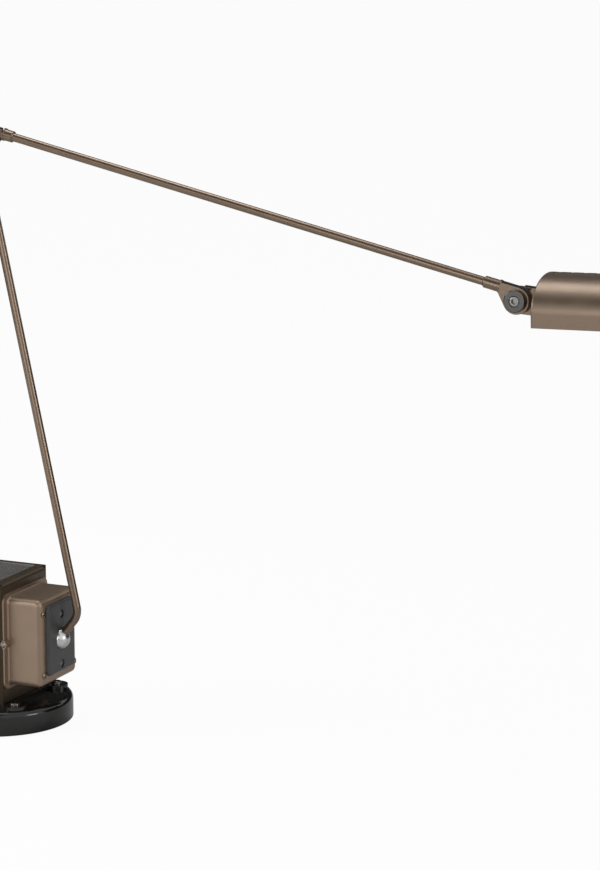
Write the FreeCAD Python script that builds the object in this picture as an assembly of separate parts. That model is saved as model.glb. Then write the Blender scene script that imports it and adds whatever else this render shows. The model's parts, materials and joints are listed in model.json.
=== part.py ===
import FreeCAD, Part
import math
import os

# Jointed desk lamp: heavy round foot, transformer body with two side covers, hooked lower
# arm in a ball joint, straight upper arm, and an arched shade on a tilting bracket.
# Millimetres. Origin: centre of the foot on the table. +Z up, +X the way the arm reaches.

V = FreeCAD.Vector
X_AXIS = V(1, 0, 0)
Y_AXIS = V(0, 1, 0)
Z_AXIS = V(0, 0, 1)

# ---- foot ----
foot_radius = 65.0
foot_top = 21.7
foot_rim_fillet = 5.5
pad_margin = 8.0
pad_thickness = 2.4
pad_proud = 0.8
foot_plate_thickness = 2.8
foot_plate_margin = 6.0
ear_radius = 9.8
foot_bolt_out = 10.0
foot_bolt_back = 2.0
foot_bolt_shank = 2.5
foot_bolt_depth = 13.0

# ---- transformer body ----
sheet = 1.5
body_half_x = 27.5
body_half_y = 39.0
body_top = 130.0
body_bend = 4.5
rim_width = 7.7
rim_end_width = 2.1
grille_thickness = 1.2
grille_drop = 0.9
grille_ledge = 1.6
grille_margin = 2.6
grille_rows = 6
grille_columns = 11
grille_web = 1.7

# ---- side covers ----
cover_depth = 33.5
cover_inset = 7.0
cover_bottom = 39.8
cover_top = 116.6
cover_radius = 5.5
flange_inset = 0.6
flange_below = 3.2
flange_above = 3.6
flange_corner = 7.0
flange_root = 1.6
cover_screw_in = 5.6
cover_screw_up = 10.5
cover_screw_down = 12.6
cover_screw_head = 3.1
cover_post_radius = 2.4
seam_screw_z = 77.0
seam_screw_out = 0.4
seam_screw_head = 2.7
seam_screw_shank = 1.3
seam_screw_depth = 4.5
seam_boss_radius = 4.0

# ---- ball joint ----
ball_radius = 9.5
ball_out = 0.2
ball_z = 77.0
seat_clearance = 0.15
pivot_plate_thickness = 3.0
pivot_plate_half_y = 23.2
pivot_plate_down = 28.6
pivot_plate_up = 33.3
pivot_plate_corner = 5.0
plate_screw_spread = 22.0
cup_margin = 1.0
cup_length = 7.0
cup_front = 5.6
disc_spring_count = 4
disc_spring_sheet = 0.8
disc_spring_cone = 0.7
strap_play = 1.5
strap_half_y = 9.0
strap_sheet = 2.0

# ---- arms ----
rod_radius = 3.5
rod_wall = 1.0
conductor_play = 0.3
neck_angle = 49.4
neck_run = 29.3
hook_radius = 15.0
lower_lean = 12.2
lower_run = 414.0
upper_droop = 12.8
upper_length = 488.8
rod_fit = 0.05
ball_bore_depth = 5.5

# ---- arm end fittings and friction joints ----
pivot_offset = 6.5
collar_start = 16.0
collar_length = 2.0
collar_step = 0.6
sleeve_wall = 1.3
sleeve_chamfer = 1.2
short_sleeve = 8.0
long_sleeve = 13.0
lug_radius = 10.9
lug_plate = 1.8
insulator_sheet = 1.2
insulator_proud = 1.3
lug_gap = 1.2
disc_gap = 0.2
washer_radius = 9.0
washer_thickness = 4.0
washer_chamfer = 0.7
joint_bolt_radius = 2.5
joint_bolt_head = 4.25
joint_bolt_head_height = 3.2
joint_nut_flats = 8.0
joint_nut_height = 3.0

# ---- head ----
head_pitch = 1.4
shade_start = 24.2
shade_length = 118.0
shade_half_y = 39.0
shade_wall_height = 11.0
shade_crown = 27.6
shade_bottom = -15.5
shade_sheet = 1.2
shade_end_radius = 1.8
slot_first = 8.0
slot_pitch = 10.5
slot_width = 4.2
slot_length = 14.0
bracket_slope = -5.4
bracket_inside = 9.0
holder_length = 18.0
holder_half_y = 13.0
holder_half_z = 9.0
bulb_axis_z = 0.0
bulb_radius = 6.0
bulb_length = 34.0
bulb_pin_spread = 3.2
bulb_pin_length = 8.0
reflector_gap = 4.0
reflector_sheet = 0.8
reflector_lip_rise = 2.0

# ---- transformer ----
core_half_x = 20.0
core_play = 3.0
core_feet_height = 9.5
core_headroom = 12.0
core_leg = 12.0
winding_overhang = 11.6
winding_play = 0.4
foot_channel_width = 14.0

# ---- switch and cord inlet, on the left cover ----
switch_z = 84.0
switch_half_y = 7.4
switch_half_z = 11.5
switch_bezel = 1.8
switch_depth = 15.0
switch_rim = 2.2
rocker_play = 0.3
rocker_tilt = 6.0
rocker_pin_radius = 1.0
inlet_z = 64.0
inlet_bore = 3.5
inlet_radius = 6.0
inlet_out = 16.5


# ---- sizes that follow from the ones above ----
plate_top = foot_top + foot_plate_thickness
pad_radius = foot_radius - pad_margin
foot_plate_half_x = body_half_x + foot_plate_margin
foot_bolt_x = body_half_x + foot_bolt_out
foot_bolt_y = body_half_y - foot_bolt_back
panel_y = body_half_y - sheet
grille_half_x = body_half_x - rim_width
grille_half_y = body_half_y - rim_end_width
cover_reach = body_half_x + cover_depth
cover_half_y = body_half_y - cover_inset
flange_face = body_half_x + sheet
flange_half_y = body_half_y - flange_inset
cover_screw_y = cover_half_y - cover_screw_in
seam_screw_x = body_half_x + seam_screw_out
ball_x = cover_reach + ball_out
cup_radius = ball_radius - cup_margin
core_radius = rod_radius - rod_wall - conductor_play
sleeve_radius = rod_radius + sleeve_wall
collar_radius = sleeve_radius + collar_step
pivot_plate_face = cover_reach + pivot_plate_thickness
core_half_y = body_half_y - core_play
core_low = plate_top + core_feet_height
core_high = body_top - core_headroom


# ---- small helpers ----

def box(x0, x1, y0, y1, z0, z1):
    return Part.makeBox(x1 - x0, y1 - y0, z1 - z0, V(x0, y0, z0))


def rod(radius, start, end):
    along = end.sub(start)
    return Part.makeCylinder(radius, along.Length, start, along)


def ring(outer, inner, start, end):
    return rod(outer, start, end).cut(rod(inner, start, end))


def rounded_rectangle(half_a, half_b, radius):
    """Closed wire in the XY plane, centred on the origin."""
    a, b, r = half_a - radius, half_b - radius, radius
    s = r * math.sqrt(0.5)
    corners = ((a, b, 1, 1), (-a, b, -1, 1), (-a, -b, -1, -1), (a, -b, 1, -1))
    edges = []
    for i, (cx, cy, sx, sy) in enumerate(corners):
        across = V(cx + sx * r, cy, 0)
        up = V(cx, cy + sy * r, 0)
        first, last = (across, up) if i % 2 == 0 else (up, across)
        edges.append(Part.Arc(first, V(cx + sx * s, cy + sy * s, 0), last).toShape())
    joined = []
    for i, edge in enumerate(edges):
        nxt = edges[(i + 1) % 4]
        joined.append(edge)
        joined.append(Part.LineSegment(edge.lastVertex().Point, nxt.firstVertex().Point).toShape())
    return Part.Wire(joined)


def plate_across_x(x0, x1, half_y, z0, z1, radius):
    """Plate with rounded corners that faces +X."""
    face = Part.Face(rounded_rectangle(half_y, (z1 - z0) / 2, radius))
    solid = face.extrude(V(0, 0, x1 - x0))
    turn = FreeCAD.Rotation(Y_AXIS, Z_AXIS, X_AXIS, "ZXY")
    solid.Placement = FreeCAD.Placement(V(x0, 0, (z0 + z1) / 2), turn)
    return solid


def in_plane(points_to_wire, y0, y1):
    """Closed wire drawn in the XZ plane, given thickness from y0 to y1."""
    face = Part.Face(points_to_wire)
    solid = face.extrude(V(0, y1 - y0, 0))
    solid.translate(V(0, y0, 0))
    return solid


def polygon(points):
    return Part.makePolygon([V(*p) for p in points] + [V(*points[0])])


def edges_where(shape, test):
    return [e for e in shape.Edges if test(e)]


def flat_edges_at_x(shape, x):
    return edges_where(shape, lambda e: abs(e.BoundBox.XMin - x) < 1e-4 and abs(e.BoundBox.XMax - x) < 1e-4)


def hexagon_prism(across_flats, start, end):
    """Hexagonal prism along any axis."""
    radius = across_flats / math.sqrt(3)
    along = end.sub(start)
    points = [V(radius * math.cos(math.radians(60 * i)), radius * math.sin(math.radians(60 * i)), 0) for i in range(6)]
    prism = Part.Face(Part.makePolygon(points + [points[0]])).extrude(V(0, 0, along.Length))
    prism.Placement = FreeCAD.Placement(start, FreeCAD.Rotation(Z_AXIS, along))
    return prism


def cross_recess(centre, outward, radius, depth):
    """Cross-shaped driver recess, cut into a head whose face is at centre."""
    arm = radius * 0.28
    bars = []
    for half_u, half_v in ((radius * 0.72, arm), (arm, radius * 0.72)):
        bars.append(Part.makeBox(2 * half_u, 2 * half_v, 2 * depth, V(-half_u, -half_v, -depth)))
    tool = bars[0].fuse(bars[1])
    tool.Placement = FreeCAD.Placement(centre, FreeCAD.Rotation(Z_AXIS, outward))
    return tool


def domed_head(radius, height, base, outward):
    """Low domed screw head that stands on base."""
    sphere_radius = (radius * radius + height * height) / (2 * height)
    ball = Part.makeSphere(sphere_radius, base.sub(V(outward).multiply(sphere_radius - height)))
    return ball.common(rod(radius, base, base.add(V(outward).multiply(height * 1.01))))


def domed_screw(base, outward, head_radius, head_height, shank_radius, shank_length, hexed=False):
    head = domed_head(head_radius, head_height, base, outward)
    shank = rod(shank_radius, base.sub(V(outward).multiply(shank_length)), base)
    tip = base.add(V(outward).multiply(head_height))
    if hexed:
        recess = hexagon_prism(head_radius * 0.72, tip.sub(V(outward).multiply(head_height * 0.7)), tip)
    else:
        recess = cross_recess(tip, outward, head_radius, head_height * 0.6)
    return head.fuse(shank).cut(recess)


def bent_tube(radius, bore, path):
    solid = sweep_disc(radius, path)
    if bore > 0:
        solid = solid.cut(sweep_disc(bore, path))
    return solid


def sweep_disc(radius, path):
    """A round bar along straight runs and arcs, built span by span so that each span is exact."""
    whole = None
    for edge in path.Edges:
        start = edge.valueAt(edge.FirstParameter)
        tangent = edge.tangentAt(edge.FirstParameter)
        disc = Part.Face(Part.Wire(Part.makeCircle(radius, start, tangent)))
        if edge.Curve.TypeId == "Part::GeomLine":
            span = disc.extrude(edge.valueAt(edge.LastParameter).sub(start))
        else:
            turn = math.degrees(edge.Length / edge.Curve.Radius)
            span = disc.revolve(edge.Curve.Center, edge.Curve.Axis, turn)
        whole = span if whole is None else whole.fuse(span)
    return whole.removeSplitter()


# ---- where the joints are ----

def direction(angle):
    """Unit vector in the XZ plane, angle in degrees up from +X."""
    a = math.radians(angle)
    return V(math.cos(a), 0, math.sin(a))


def step(start, along, distance):
    return start.add(V(along).multiply(distance))


ball_centre = V(ball_x, 0, ball_z)
neck_direction = direction(neck_angle)
hook_corner = step(ball_centre, neck_direction, neck_run)
lower_direction = direction(90 + lower_lean)
lower_foot = step(hook_corner, lower_direction, lower_run)
elbow_pivot = step(lower_foot, direction(lower_lean), pivot_offset)
upper_direction = direction(-upper_droop)
upper_foot = step(elbow_pivot, direction(90 - upper_droop), pivot_offset)
upper_end = step(upper_foot, upper_direction, upper_length)
head_pivot = step(upper_end, direction(90 - upper_droop), -pivot_offset)


# ---- foot ----

def make_foot_disc():
    disc = Part.makeCylinder(foot_radius, foot_top - pad_proud, V(0, 0, pad_proud))
    top_rim = edges_where(disc, lambda e: e.BoundBox.ZMin > foot_top - 0.01 and e.BoundBox.XLength > foot_radius)
    disc = disc.makeFillet(foot_rim_fillet, top_rim)
    low_rim = edges_where(disc, lambda e: e.BoundBox.ZMax < pad_proud + 0.01 and e.BoundBox.XLength > foot_radius)
    disc = disc.makeChamfer(0.6, low_rim)
    disc = disc.cut(Part.makeCylinder(pad_radius + 0.3, pad_thickness, Z_AXIS * 0))
    for x, y in foot_bolt_places():
        disc = disc.cut(rod(foot_bolt_shank, V(x, y, foot_top - foot_bolt_depth), V(x, y, foot_top)))
    return disc


def make_foot_pad():
    return Part.makeCylinder(pad_radius, pad_thickness)


def foot_bolt_places():
    return [(sx * foot_bolt_x, sy * foot_bolt_y) for sx in (1, -1) for sy in (1, -1)]


def make_foot_plate():
    plate = box(-foot_plate_half_x, foot_plate_half_x, -body_half_y, body_half_y, foot_top, plate_top)
    for x, y in foot_bolt_places():
        plate = plate.fuse(rod(ear_radius, V(x, y, foot_top), V(x, y, plate_top)))
    for x, y in foot_bolt_places():
        plate = plate.cut(rod(foot_bolt_shank, V(x, y, foot_top), V(x, y, plate_top)))
    plate = plate.removeSplitter()
    inner_x = body_half_x - 3 * sheet
    inner_y = body_half_y - 3 * sheet - foot_channel_width
    return plate.cut(box(-inner_x, inner_x, -inner_y, inner_y, foot_top, plate_top))


def make_foot_bolts():
    bolts = []
    for x, y in foot_bolt_places():
        bolts.append(domed_screw(V(x, y, plate_top), Z_AXIS, 4.6, 2.9, foot_bolt_shank,
                                 foot_bolt_depth + foot_plate_thickness - 0.5, hexed=True))
    return Part.Compound(bolts)


# ---- transformer body ----

def body_profile(inset, top):
    """Upright outline with bent top corners, in the XZ plane."""
    half = body_half_x - inset
    high = top - inset
    bend = body_bend - inset
    s = bend * (1 - math.sqrt(0.5))
    left_arc = Part.Arc(V(-half, 0, high - bend), V(-half + s, 0, high - s), V(-half + bend, 0, high))
    right_arc = Part.Arc(V(half - bend, 0, high), V(half - s, 0, high - s), V(half, 0, high - bend))
    return Part.Wire([
        Part.LineSegment(V(-half, 0, plate_top), V(-half, 0, high - bend)).toShape(),
        left_arc.toShape(),
        Part.LineSegment(V(-half + bend, 0, high), V(half - bend, 0, high)).toShape(),
        right_arc.toShape(),
        Part.LineSegment(V(half, 0, high - bend), V(half, 0, plate_top)).toShape(),
        Part.LineSegment(V(half, 0, plate_top), V(-half, 0, plate_top)).toShape(),
    ])


def make_body_wrap():
    """Bent side walls and top rim in one sheet, with a top opening and a window each side."""
    wrap = in_plane(body_profile(0, body_top), -panel_y, panel_y)
    wrap = wrap.cut(in_plane(body_profile(sheet, body_top), -body_half_y, body_half_y))
    wrap = wrap.cut(box(-body_half_x, body_half_x, -panel_y, panel_y, foot_top, plate_top))
    wrap = wrap.cut(box(-grille_half_x, grille_half_x, -grille_half_y, grille_half_y,
                        body_top - 2 * sheet, body_top + 1))
    ledge_top = body_top - grille_drop - grille_thickness
    ledge = box(-grille_half_x - 1.5, grille_half_x + 1.5, -panel_y, panel_y, ledge_top - 1.4, body_top - sheet)
    ledge = ledge.cut(box(-grille_half_x, grille_half_x, -grille_half_y, grille_half_y, ledge_top, body_top))
    ledge = ledge.cut(box(-grille_half_x + grille_ledge, grille_half_x - grille_ledge,
                          -grille_half_y + grille_ledge, grille_half_y - grille_ledge, ledge_top - 2, body_top))
    wrap = wrap.fuse(ledge)
    window_y = core_half_y - core_leg - 0.1
    wrap = wrap.cut(box(-body_half_x - 1, body_half_x + 1, -window_y, window_y,
                        core_low + core_leg - 1.5, core_high - core_leg + 1.5))
    for sx in (1, -1):
        for sy in (1, -1):
            wrap = wrap.fuse(seam_block(sx, sy)).cut(seam_hole(sx, sy))
    return wrap.removeSplitter()


def seam_hole(sx, sy):
    x = sx * seam_screw_x
    return rod(seam_screw_shank, V(x, sy * (panel_y - seam_screw_depth), seam_screw_z),
               V(x, sy * body_half_y, seam_screw_z))


def seam_block(sx, sy):
    """Folded tab inside a front or back corner, where a seam screw bites."""
    x0, x1 = sorted((sx * (body_half_x - sheet - 5.0), sx * (body_half_x - sheet)))
    y0, y1 = sorted((sy * (panel_y - 7.0), sy * panel_y))
    return box(x0, x1, y0, y1, seam_screw_z - 5.0, seam_screw_z + 5.0)


def make_end_panel(sy):
    y0, y1 = sorted((sy * panel_y, sy * body_half_y))
    panel = box(-body_half_x, body_half_x, y0, y1, plate_top, body_top)
    for sx in (1, -1):
        panel = panel.cut(seam_hole(sx, sy))
    return panel


def make_seam_screws():
    screws = []
    for sx in (1, -1):
        for sy in (1, -1):
            base = V(sx * seam_screw_x, sy * body_half_y, seam_screw_z)
            screws.append(domed_screw(base, V(0, sy, 0), seam_screw_head, 1.7, seam_screw_shank,
                                      sheet + seam_screw_depth))
    return Part.Compound(screws)


def make_top_grille():
    """Sunk plate with staggered rows of six-sided holes."""
    top = body_top - grille_drop
    plate = box(-grille_half_x + 0.15, grille_half_x - 0.15, -grille_half_y + 0.15, grille_half_y - 0.15,
                top - grille_thickness, top)
    pitch_y = (2 * grille_half_y - 2 * grille_margin) / (grille_columns + 0.5)
    pitch_x = (2 * grille_half_x - 2 * grille_margin) / grille_rows
    across = min(pitch_y, pitch_x * 2 / math.sqrt(3)) - grille_web
    holes = []
    for row in range(grille_rows):
        for column in range(grille_columns):
            x = -grille_half_x + grille_margin + pitch_x * (row + 0.5)
            y = -grille_half_y + grille_margin + pitch_y * (column + 0.5 + 0.5 * (row % 2))
            holes.append(hexagon_prism(across, V(x, y, top - 2 * grille_thickness), V(x, y, top + 1)))
    return plate.cut(Part.Compound(holes))


# ---- side covers ----

def cover_blank(inset):
    """Solid with the cover's outline, its outer edges rounded."""
    reach = cover_reach - inset
    radius = cover_radius - inset
    blank = plate_across_x(body_half_x, reach, cover_half_y - inset, cover_bottom + inset, cover_top - inset, radius)
    return blank.makeFillet(radius - 0.01, flat_edges_at_x(blank, reach))


def make_cover():
    """Drawn side cover with a flange, without the openings that differ left and right."""
    flange = plate_across_x(body_half_x, flange_face, flange_half_y, cover_bottom - flange_below,
                            cover_top + flange_above, flange_corner)
    shell = cover_blank(0).fuse(flange).removeSplitter()
    root = edges_where(shell, lambda e: abs(e.BoundBox.XMin - flange_face) < 1e-4
                       and abs(e.BoundBox.XMax - flange_face) < 1e-4
                       and e.BoundBox.YMin > -cover_half_y - 1e-3 and e.BoundBox.YMax < cover_half_y + 1e-3
                       and e.BoundBox.ZMax < cover_top + 1e-3 and e.BoundBox.ZMin > cover_bottom - 1e-3)
    shell = shell.makeFillet(flange_root, root)
    for sy in (1, -1):
        boss = rod(seam_boss_radius, V(body_half_x, sy * (cover_half_y - sheet / 2), seam_screw_z),
                   V(body_half_x, sy * body_half_y, seam_screw_z))
        boss = boss.common(box(body_half_x, cover_reach, -body_half_y, body_half_y, cover_bottom, cover_top))
        shell = shell.fuse(boss)
    shell = shell.cut(cover_blank(sheet))
    for sy in (1, -1):
        shell = shell.cut(seam_hole(1, sy))
    for y, z in cover_screw_places():
        shell = shell.cut(rod(1.8, V(body_half_x, y, z), V(cover_reach + 1, y, z)))
    return shell


def cover_screw_places():
    heights = (cover_bottom + cover_screw_up, cover_top - cover_screw_down)
    return [(sy * cover_screw_y, z) for sy in (1, -1) for z in heights]


def make_right_cover():
    cover = make_cover()
    cover = cover.cut(rod(ball_radius + 1.5, V(body_half_x, 0, ball_z), V(cover_reach + 1, 0, ball_z)))
    for z in plate_screw_places():
        cover = cover.cut(rod(2.1, V(body_half_x, 0, z), V(cover_reach + 1, 0, z)))
    return cover


def make_left_cover():
    cover = make_cover().mirror(V(0, 0, 0), X_AXIS)
    cover = cover.cut(box(-cover_reach - 1, -body_half_x, -switch_half_y + switch_rim, switch_half_y - switch_rim,
                          switch_z - switch_half_z + switch_rim, switch_z + switch_half_z - switch_rim))
    return cover.cut(rod(inlet_radius - 1.2, V(inlet_x, 0, inlet_z), V(inlet_x, cover_half_y + 1, inlet_z)))


def make_cover_screws():
    screws = []
    for sx in (1, -1):
        for y, z in cover_screw_places():
            base = V(sx * cover_reach, y, z)
            screws.append(domed_screw(base, V(sx, 0, 0), cover_screw_head, 1.5, 1.7, 9.0))
    return Part.Compound(screws)


def make_cover_posts():
    """Tapped pillars behind the cover screws, their ends shaped to the covers' rounded edges."""
    inside = cover_blank(sheet)
    posts = []
    for y, z in cover_screw_places():
        end = V(cover_reach - sheet, y, z)
        hole = rod(1.7, V(cover_reach - sheet - 9.0, y, z), end)
        post = rod(cover_post_radius, V(body_half_x, y, z), end).common(inside).cut(hole)
        posts += [post, post.mirror(V(0, 0, 0), X_AXIS)]
    return Part.Compound(posts)


# ---- ball joint ----

def plate_screw_places():
    return (ball_z - plate_screw_spread, ball_z + plate_screw_spread)


def make_pivot_plate():
    """Moulded plate whose round seat holds the ball in."""
    plate = plate_across_x(cover_reach, pivot_plate_face, pivot_plate_half_y, ball_z - pivot_plate_down,
                           ball_z + pivot_plate_up, pivot_plate_corner)
    plate = plate.makeFillet(2.2, flat_edges_at_x(plate, pivot_plate_face))
    plate = plate.cut(Part.makeSphere(ball_radius + seat_clearance, ball_centre))
    for z in plate_screw_places():
        plate = plate.cut(rod(2.1, V(cover_reach, 0, z), V(pivot_plate_face, 0, z)))
        plate = plate.cut(rod(3.7, V(pivot_plate_face - 1.7, 0, z), V(pivot_plate_face + 1, 0, z)))
    return plate


def make_plate_screws():
    screws = []
    for z in plate_screw_places():
        base = V(pivot_plate_face - 1.7, 0, z)
        screws.append(domed_screw(base, X_AXIS, 3.5, 1.6, 2.0, 7.5))
    return Part.Compound(screws)


cup_back = ball_x - cup_front - cup_length
disc_pitch = disc_spring_sheet + disc_spring_cone + 0.02
strap_face = cup_back - disc_spring_count * disc_pitch


def make_friction_cup():
    cup = rod(cup_radius, V(cup_back, 0, ball_z), V(cup_back + cup_length, 0, ball_z))
    cup = cup.cut(Part.makeSphere(ball_radius + seat_clearance, ball_centre))
    return cup.cut(rod(3.2, V(cup_back, 0, ball_z), V(cup_back + cup_length, 0, ball_z)))


def make_disc_springs():
    """Coned washers in pairs, cup to cup, along the X axis."""
    springs = []
    inner, outer = 3.4, cup_radius - 0.5
    for i in range(disc_spring_count):
        low, high = (0.0, disc_spring_cone) if i % 2 == 0 else (disc_spring_cone, 0.0)
        x = strap_face + i * disc_pitch + 0.01
        points = [(x + low, 0, inner), (x + high, 0, outer), (x + high + disc_spring_sheet, 0, outer),
                  (x + low + disc_spring_sheet, 0, inner)]
        washer = Part.Face(polygon(points)).revolve(V(0, 0, 0), X_AXIS, 360)
        washer.translate(V(0, 0, ball_z))
        springs.append(washer)
    return Part.Compound(springs)


def make_spring_strap():
    """Hat-shaped steel strap behind the ball, held by the two plate screws."""
    wall = cover_reach - sheet
    leg = ball_radius + strap_play
    tip = plate_screw_spread + 6.0
    t = strap_sheet
    half = [(strap_face - t, 0), (strap_face - t, leg + t), (wall - t, leg + t), (wall - t, tip),
            (wall, tip), (wall, leg), (strap_face, leg), (strap_face, 0)]
    outline = [(x, 0, ball_z + z) for x, z in half] + [(x, 0, ball_z - z) for x, z in reversed(half[1:-1])]
    strap = in_plane(polygon(outline[:8] + outline[8:]), -strap_half_y, strap_half_y)
    for z in plate_screw_places():
        strap = strap.cut(rod(2.0, V(wall - 2 * t, 0, z), V(wall, 0, z)))
    return strap


def make_pivot_ball():
    """Ball with a blind socket for the neck and a small wire hole behind it."""
    ball = Part.makeSphere(ball_radius, ball_centre)
    mouth = step(ball_centre, neck_direction, ball_radius + 1)
    floor = step(ball_centre, neck_direction, ball_radius - ball_bore_depth)
    ball = ball.cut(rod(rod_radius + rod_fit, floor, mouth))
    return ball.cut(rod(core_radius - 0.7, step(ball_centre, neck_direction, -ball_radius - 1), mouth))


# ---- arms ----

def lower_path(start_gap, end_short):
    """Centre line from inside the ball, round the hook and up to the elbow."""
    start = step(ball_centre, neck_direction, start_gap)
    turn = 90 + lower_lean - neck_angle
    tangent = hook_radius * math.tan(math.radians(turn / 2))
    bend_in = step(hook_corner, neck_direction, -tangent)
    bend_out = step(hook_corner, lower_direction, tangent)
    centre = step(bend_in, direction(neck_angle + 90), hook_radius)
    middle = step(centre, direction((neck_angle + 90 + lower_lean) / 2 - 90), hook_radius)
    end = step(lower_foot, lower_direction, -end_short)
    return Part.Wire([
        Part.LineSegment(start, bend_in).toShape(),
        Part.Arc(bend_in, middle, bend_out).toShape(),
        Part.LineSegment(bend_out, end).toShape(),
    ])


neck_start = ball_radius - ball_bore_depth + 0.3


def make_lower_rod():
    return bent_tube(rod_radius, rod_radius - rod_wall, lower_path(neck_start, collar_start + collar_length))


def make_lower_conductor():
    return sweep_disc(core_radius, lower_path(neck_start + 0.5, collar_start + collar_length))


def upper_point(distance):
    return step(upper_foot, upper_direction, distance)


def make_upper_rod():
    start = upper_point(collar_start + collar_length)
    end = upper_point(upper_length - collar_start - collar_length)
    return ring(rod_radius, rod_radius - rod_wall, start, end)


def make_upper_conductor():
    start = upper_point(collar_start + collar_length)
    end = upper_point(upper_length - collar_start - collar_length)
    return rod(core_radius, start, end)


class Fitting:
    """End fitting of an arm. Local x runs from the pivot's foot back along the arm, and toward
    is the sign of local z on the pivot's side. Side is -1 for the viewer's lug, 1 for the other."""

    def __init__(self, foot, pivot, back_along, side, sleeve_length):
        self.side = side
        self.sleeve_length = sleeve_length
        local_z = back_along.cross(Y_AXIS)
        self.toward = 1 if pivot.sub(foot).dot(local_z) > 0 else -1
        self.frame = FreeCAD.Placement(foot, FreeCAD.Rotation(back_along, Y_AXIS, local_z, "XYZ"))

    def place(self, shape):
        shape.Placement = self.frame.multiply(shape.Placement)
        return shape

    def lug_outline(self):
        """Straight back edge, a round end about the pivot, and a tangent back to the collar."""
        corner = collar_radius - 1.0
        reach = math.hypot(collar_start, corner - pivot_offset)
        angle = math.atan2(corner - pivot_offset, collar_start) + math.acos(lug_radius / reach)
        touch = (lug_radius * math.cos(angle), pivot_offset + lug_radius * math.sin(angle))
        back_edge = pivot_offset - lug_radius
        places = ((collar_start, back_edge), (0.0, back_edge), (-lug_radius, pivot_offset), touch,
                  (collar_start, corner))
        start, round_start, side_point, round_end, end = [V(x, 0, self.toward * z) for x, z in places]
        return Part.Wire([
            Part.LineSegment(start, round_start).toShape(),
            Part.Arc(round_start, side_point, round_end).toShape(),
            Part.LineSegment(round_end, end).toShape(),
            Part.LineSegment(end, start).toShape(),
        ])

    def pivot_hole(self, radius):
        z = self.toward * pivot_offset
        return rod(radius, V(0, -20, z), V(0, 20, z))

    def layer(self, depth, thickness):
        """Y range of a layer that starts depth away from the joint's middle plane."""
        near = lug_gap / 2 + depth
        return tuple(sorted((self.side * near, self.side * (near + thickness))))

    def plates(self, hole):
        solids = []
        for depth in (0.0, lug_plate + insulator_sheet):
            y0, y1 = self.layer(depth, lug_plate)
            plate = in_plane(self.lug_outline(), y0, y1)
            solids.append(self.place(plate.cut(self.pivot_hole(hole))))
        return Part.Compound(solids)

    def insulator(self, hole):
        """Black sheet between the plates, with a strip that stands proud along the back edge."""
        y0, y1 = self.layer(lug_plate, insulator_sheet)
        sheet_shape = in_plane(self.lug_outline(), y0, y1)
        back_edge = pivot_offset - lug_radius
        low, high = sorted((self.toward * (back_edge + 1.0), self.toward * (back_edge - insulator_proud)))
        strip = box(-7.5, collar_start - 0.3, y0, y1, low, high)
        return self.place(sheet_shape.fuse(strip).removeSplitter().cut(self.pivot_hole(hole)))

    def sleeve(self):
        start = V(collar_start, 0, 0)
        shoulder = V(collar_start + collar_length, 0, 0)
        end = V(collar_start + collar_length + self.sleeve_length, 0, 0)
        body = rod(sleeve_radius, start, end)
        tip = edges_where(body, lambda e: e.BoundBox.XMin > end.x - 1e-3 and e.BoundBox.YLength > sleeve_radius)
        body = body.makeChamfer(sleeve_chamfer, tip)
        collar = rod(collar_radius, start, shoulder)
        lip = edges_where(collar, lambda e: e.BoundBox.XMin > shoulder.x - 1e-3 and e.BoundBox.YLength > sleeve_radius)
        collar = collar.makeChamfer(collar_radius - sleeve_radius, lip)
        body = body.fuse(collar).cut(rod(rod_radius, shoulder, end))
        return self.place(body.cut(rod(core_radius, start, shoulder)))


lower_fitting = Fitting(lower_foot, elbow_pivot, V(lower_direction) * -1, 1, short_sleeve)
elbow_fitting = Fitting(upper_foot, elbow_pivot, upper_direction, -1, short_sleeve)
wrist_fitting = Fitting(upper_end, head_pivot, V(upper_direction) * -1, -1, long_sleeve)
lug_face = lug_gap / 2 + 2 * lug_plate + insulator_sheet


def make_joint_washers(pivot):
    """Thick pressure washers: one sunk for the screw head, one for the nut."""
    washers = []
    for side, gap in ((-1, 0.0), (1, disc_gap)):
        inner = pivot.add(V(0, side * (lug_face + gap), 0))
        outer = inner.add(V(0, side * washer_thickness, 0))
        washer = rod(washer_radius, inner, outer)
        rim = edges_where(washer, lambda e: abs(e.BoundBox.YMin - outer.y) < 1e-3 and e.BoundBox.XLength > washer_radius)
        washer = washer.makeChamfer(washer_chamfer, rim).cut(rod(joint_bolt_radius, inner, outer))
        if side < 0:
            pocket = rod(joint_bolt_head + 0.15, outer.sub(V(0, -joint_bolt_head_height, 0)), outer)
        else:
            pocket = hexagon_prism(joint_nut_flats + 0.2, outer.sub(V(0, joint_nut_height, 0)), outer)
        washers.append(washer.cut(pocket))
    return Part.Compound(washers)


def make_friction_disc(pivot):
    start = pivot.add(V(0, -lug_gap / 2, 0))
    return ring(lug_radius - 0.6, joint_bolt_radius, start, start.add(V(0, lug_gap - disc_gap, 0)))


def make_joint_screw(pivot):
    """Socket cap screw from the viewer's side, its head flush with the washer."""
    face = pivot.add(V(0, -lug_face - washer_thickness, 0))
    under = face.add(V(0, joint_bolt_head_height, 0))
    tip = pivot.add(V(0, lug_face + disc_gap + washer_thickness, 0))
    head = rod(joint_bolt_head, face, under)
    rim = edges_where(head, lambda e: abs(e.BoundBox.YMax - face.y) < 1e-3 and e.BoundBox.XLength > joint_bolt_head)
    head = head.makeChamfer(0.4, rim)
    screw = head.fuse(rod(joint_bolt_radius, under, tip))
    return screw.cut(hexagon_prism(4.4, face, face.add(V(0, joint_bolt_head_height - 0.8, 0))))


def make_joint_nut(pivot):
    outer = pivot.add(V(0, lug_face + disc_gap + washer_thickness, 0))
    inner = outer.sub(V(0, joint_nut_height, 0))
    return hexagon_prism(joint_nut_flats, inner, outer).cut(rod(joint_bolt_radius, inner, outer))


# ---- head ----

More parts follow.
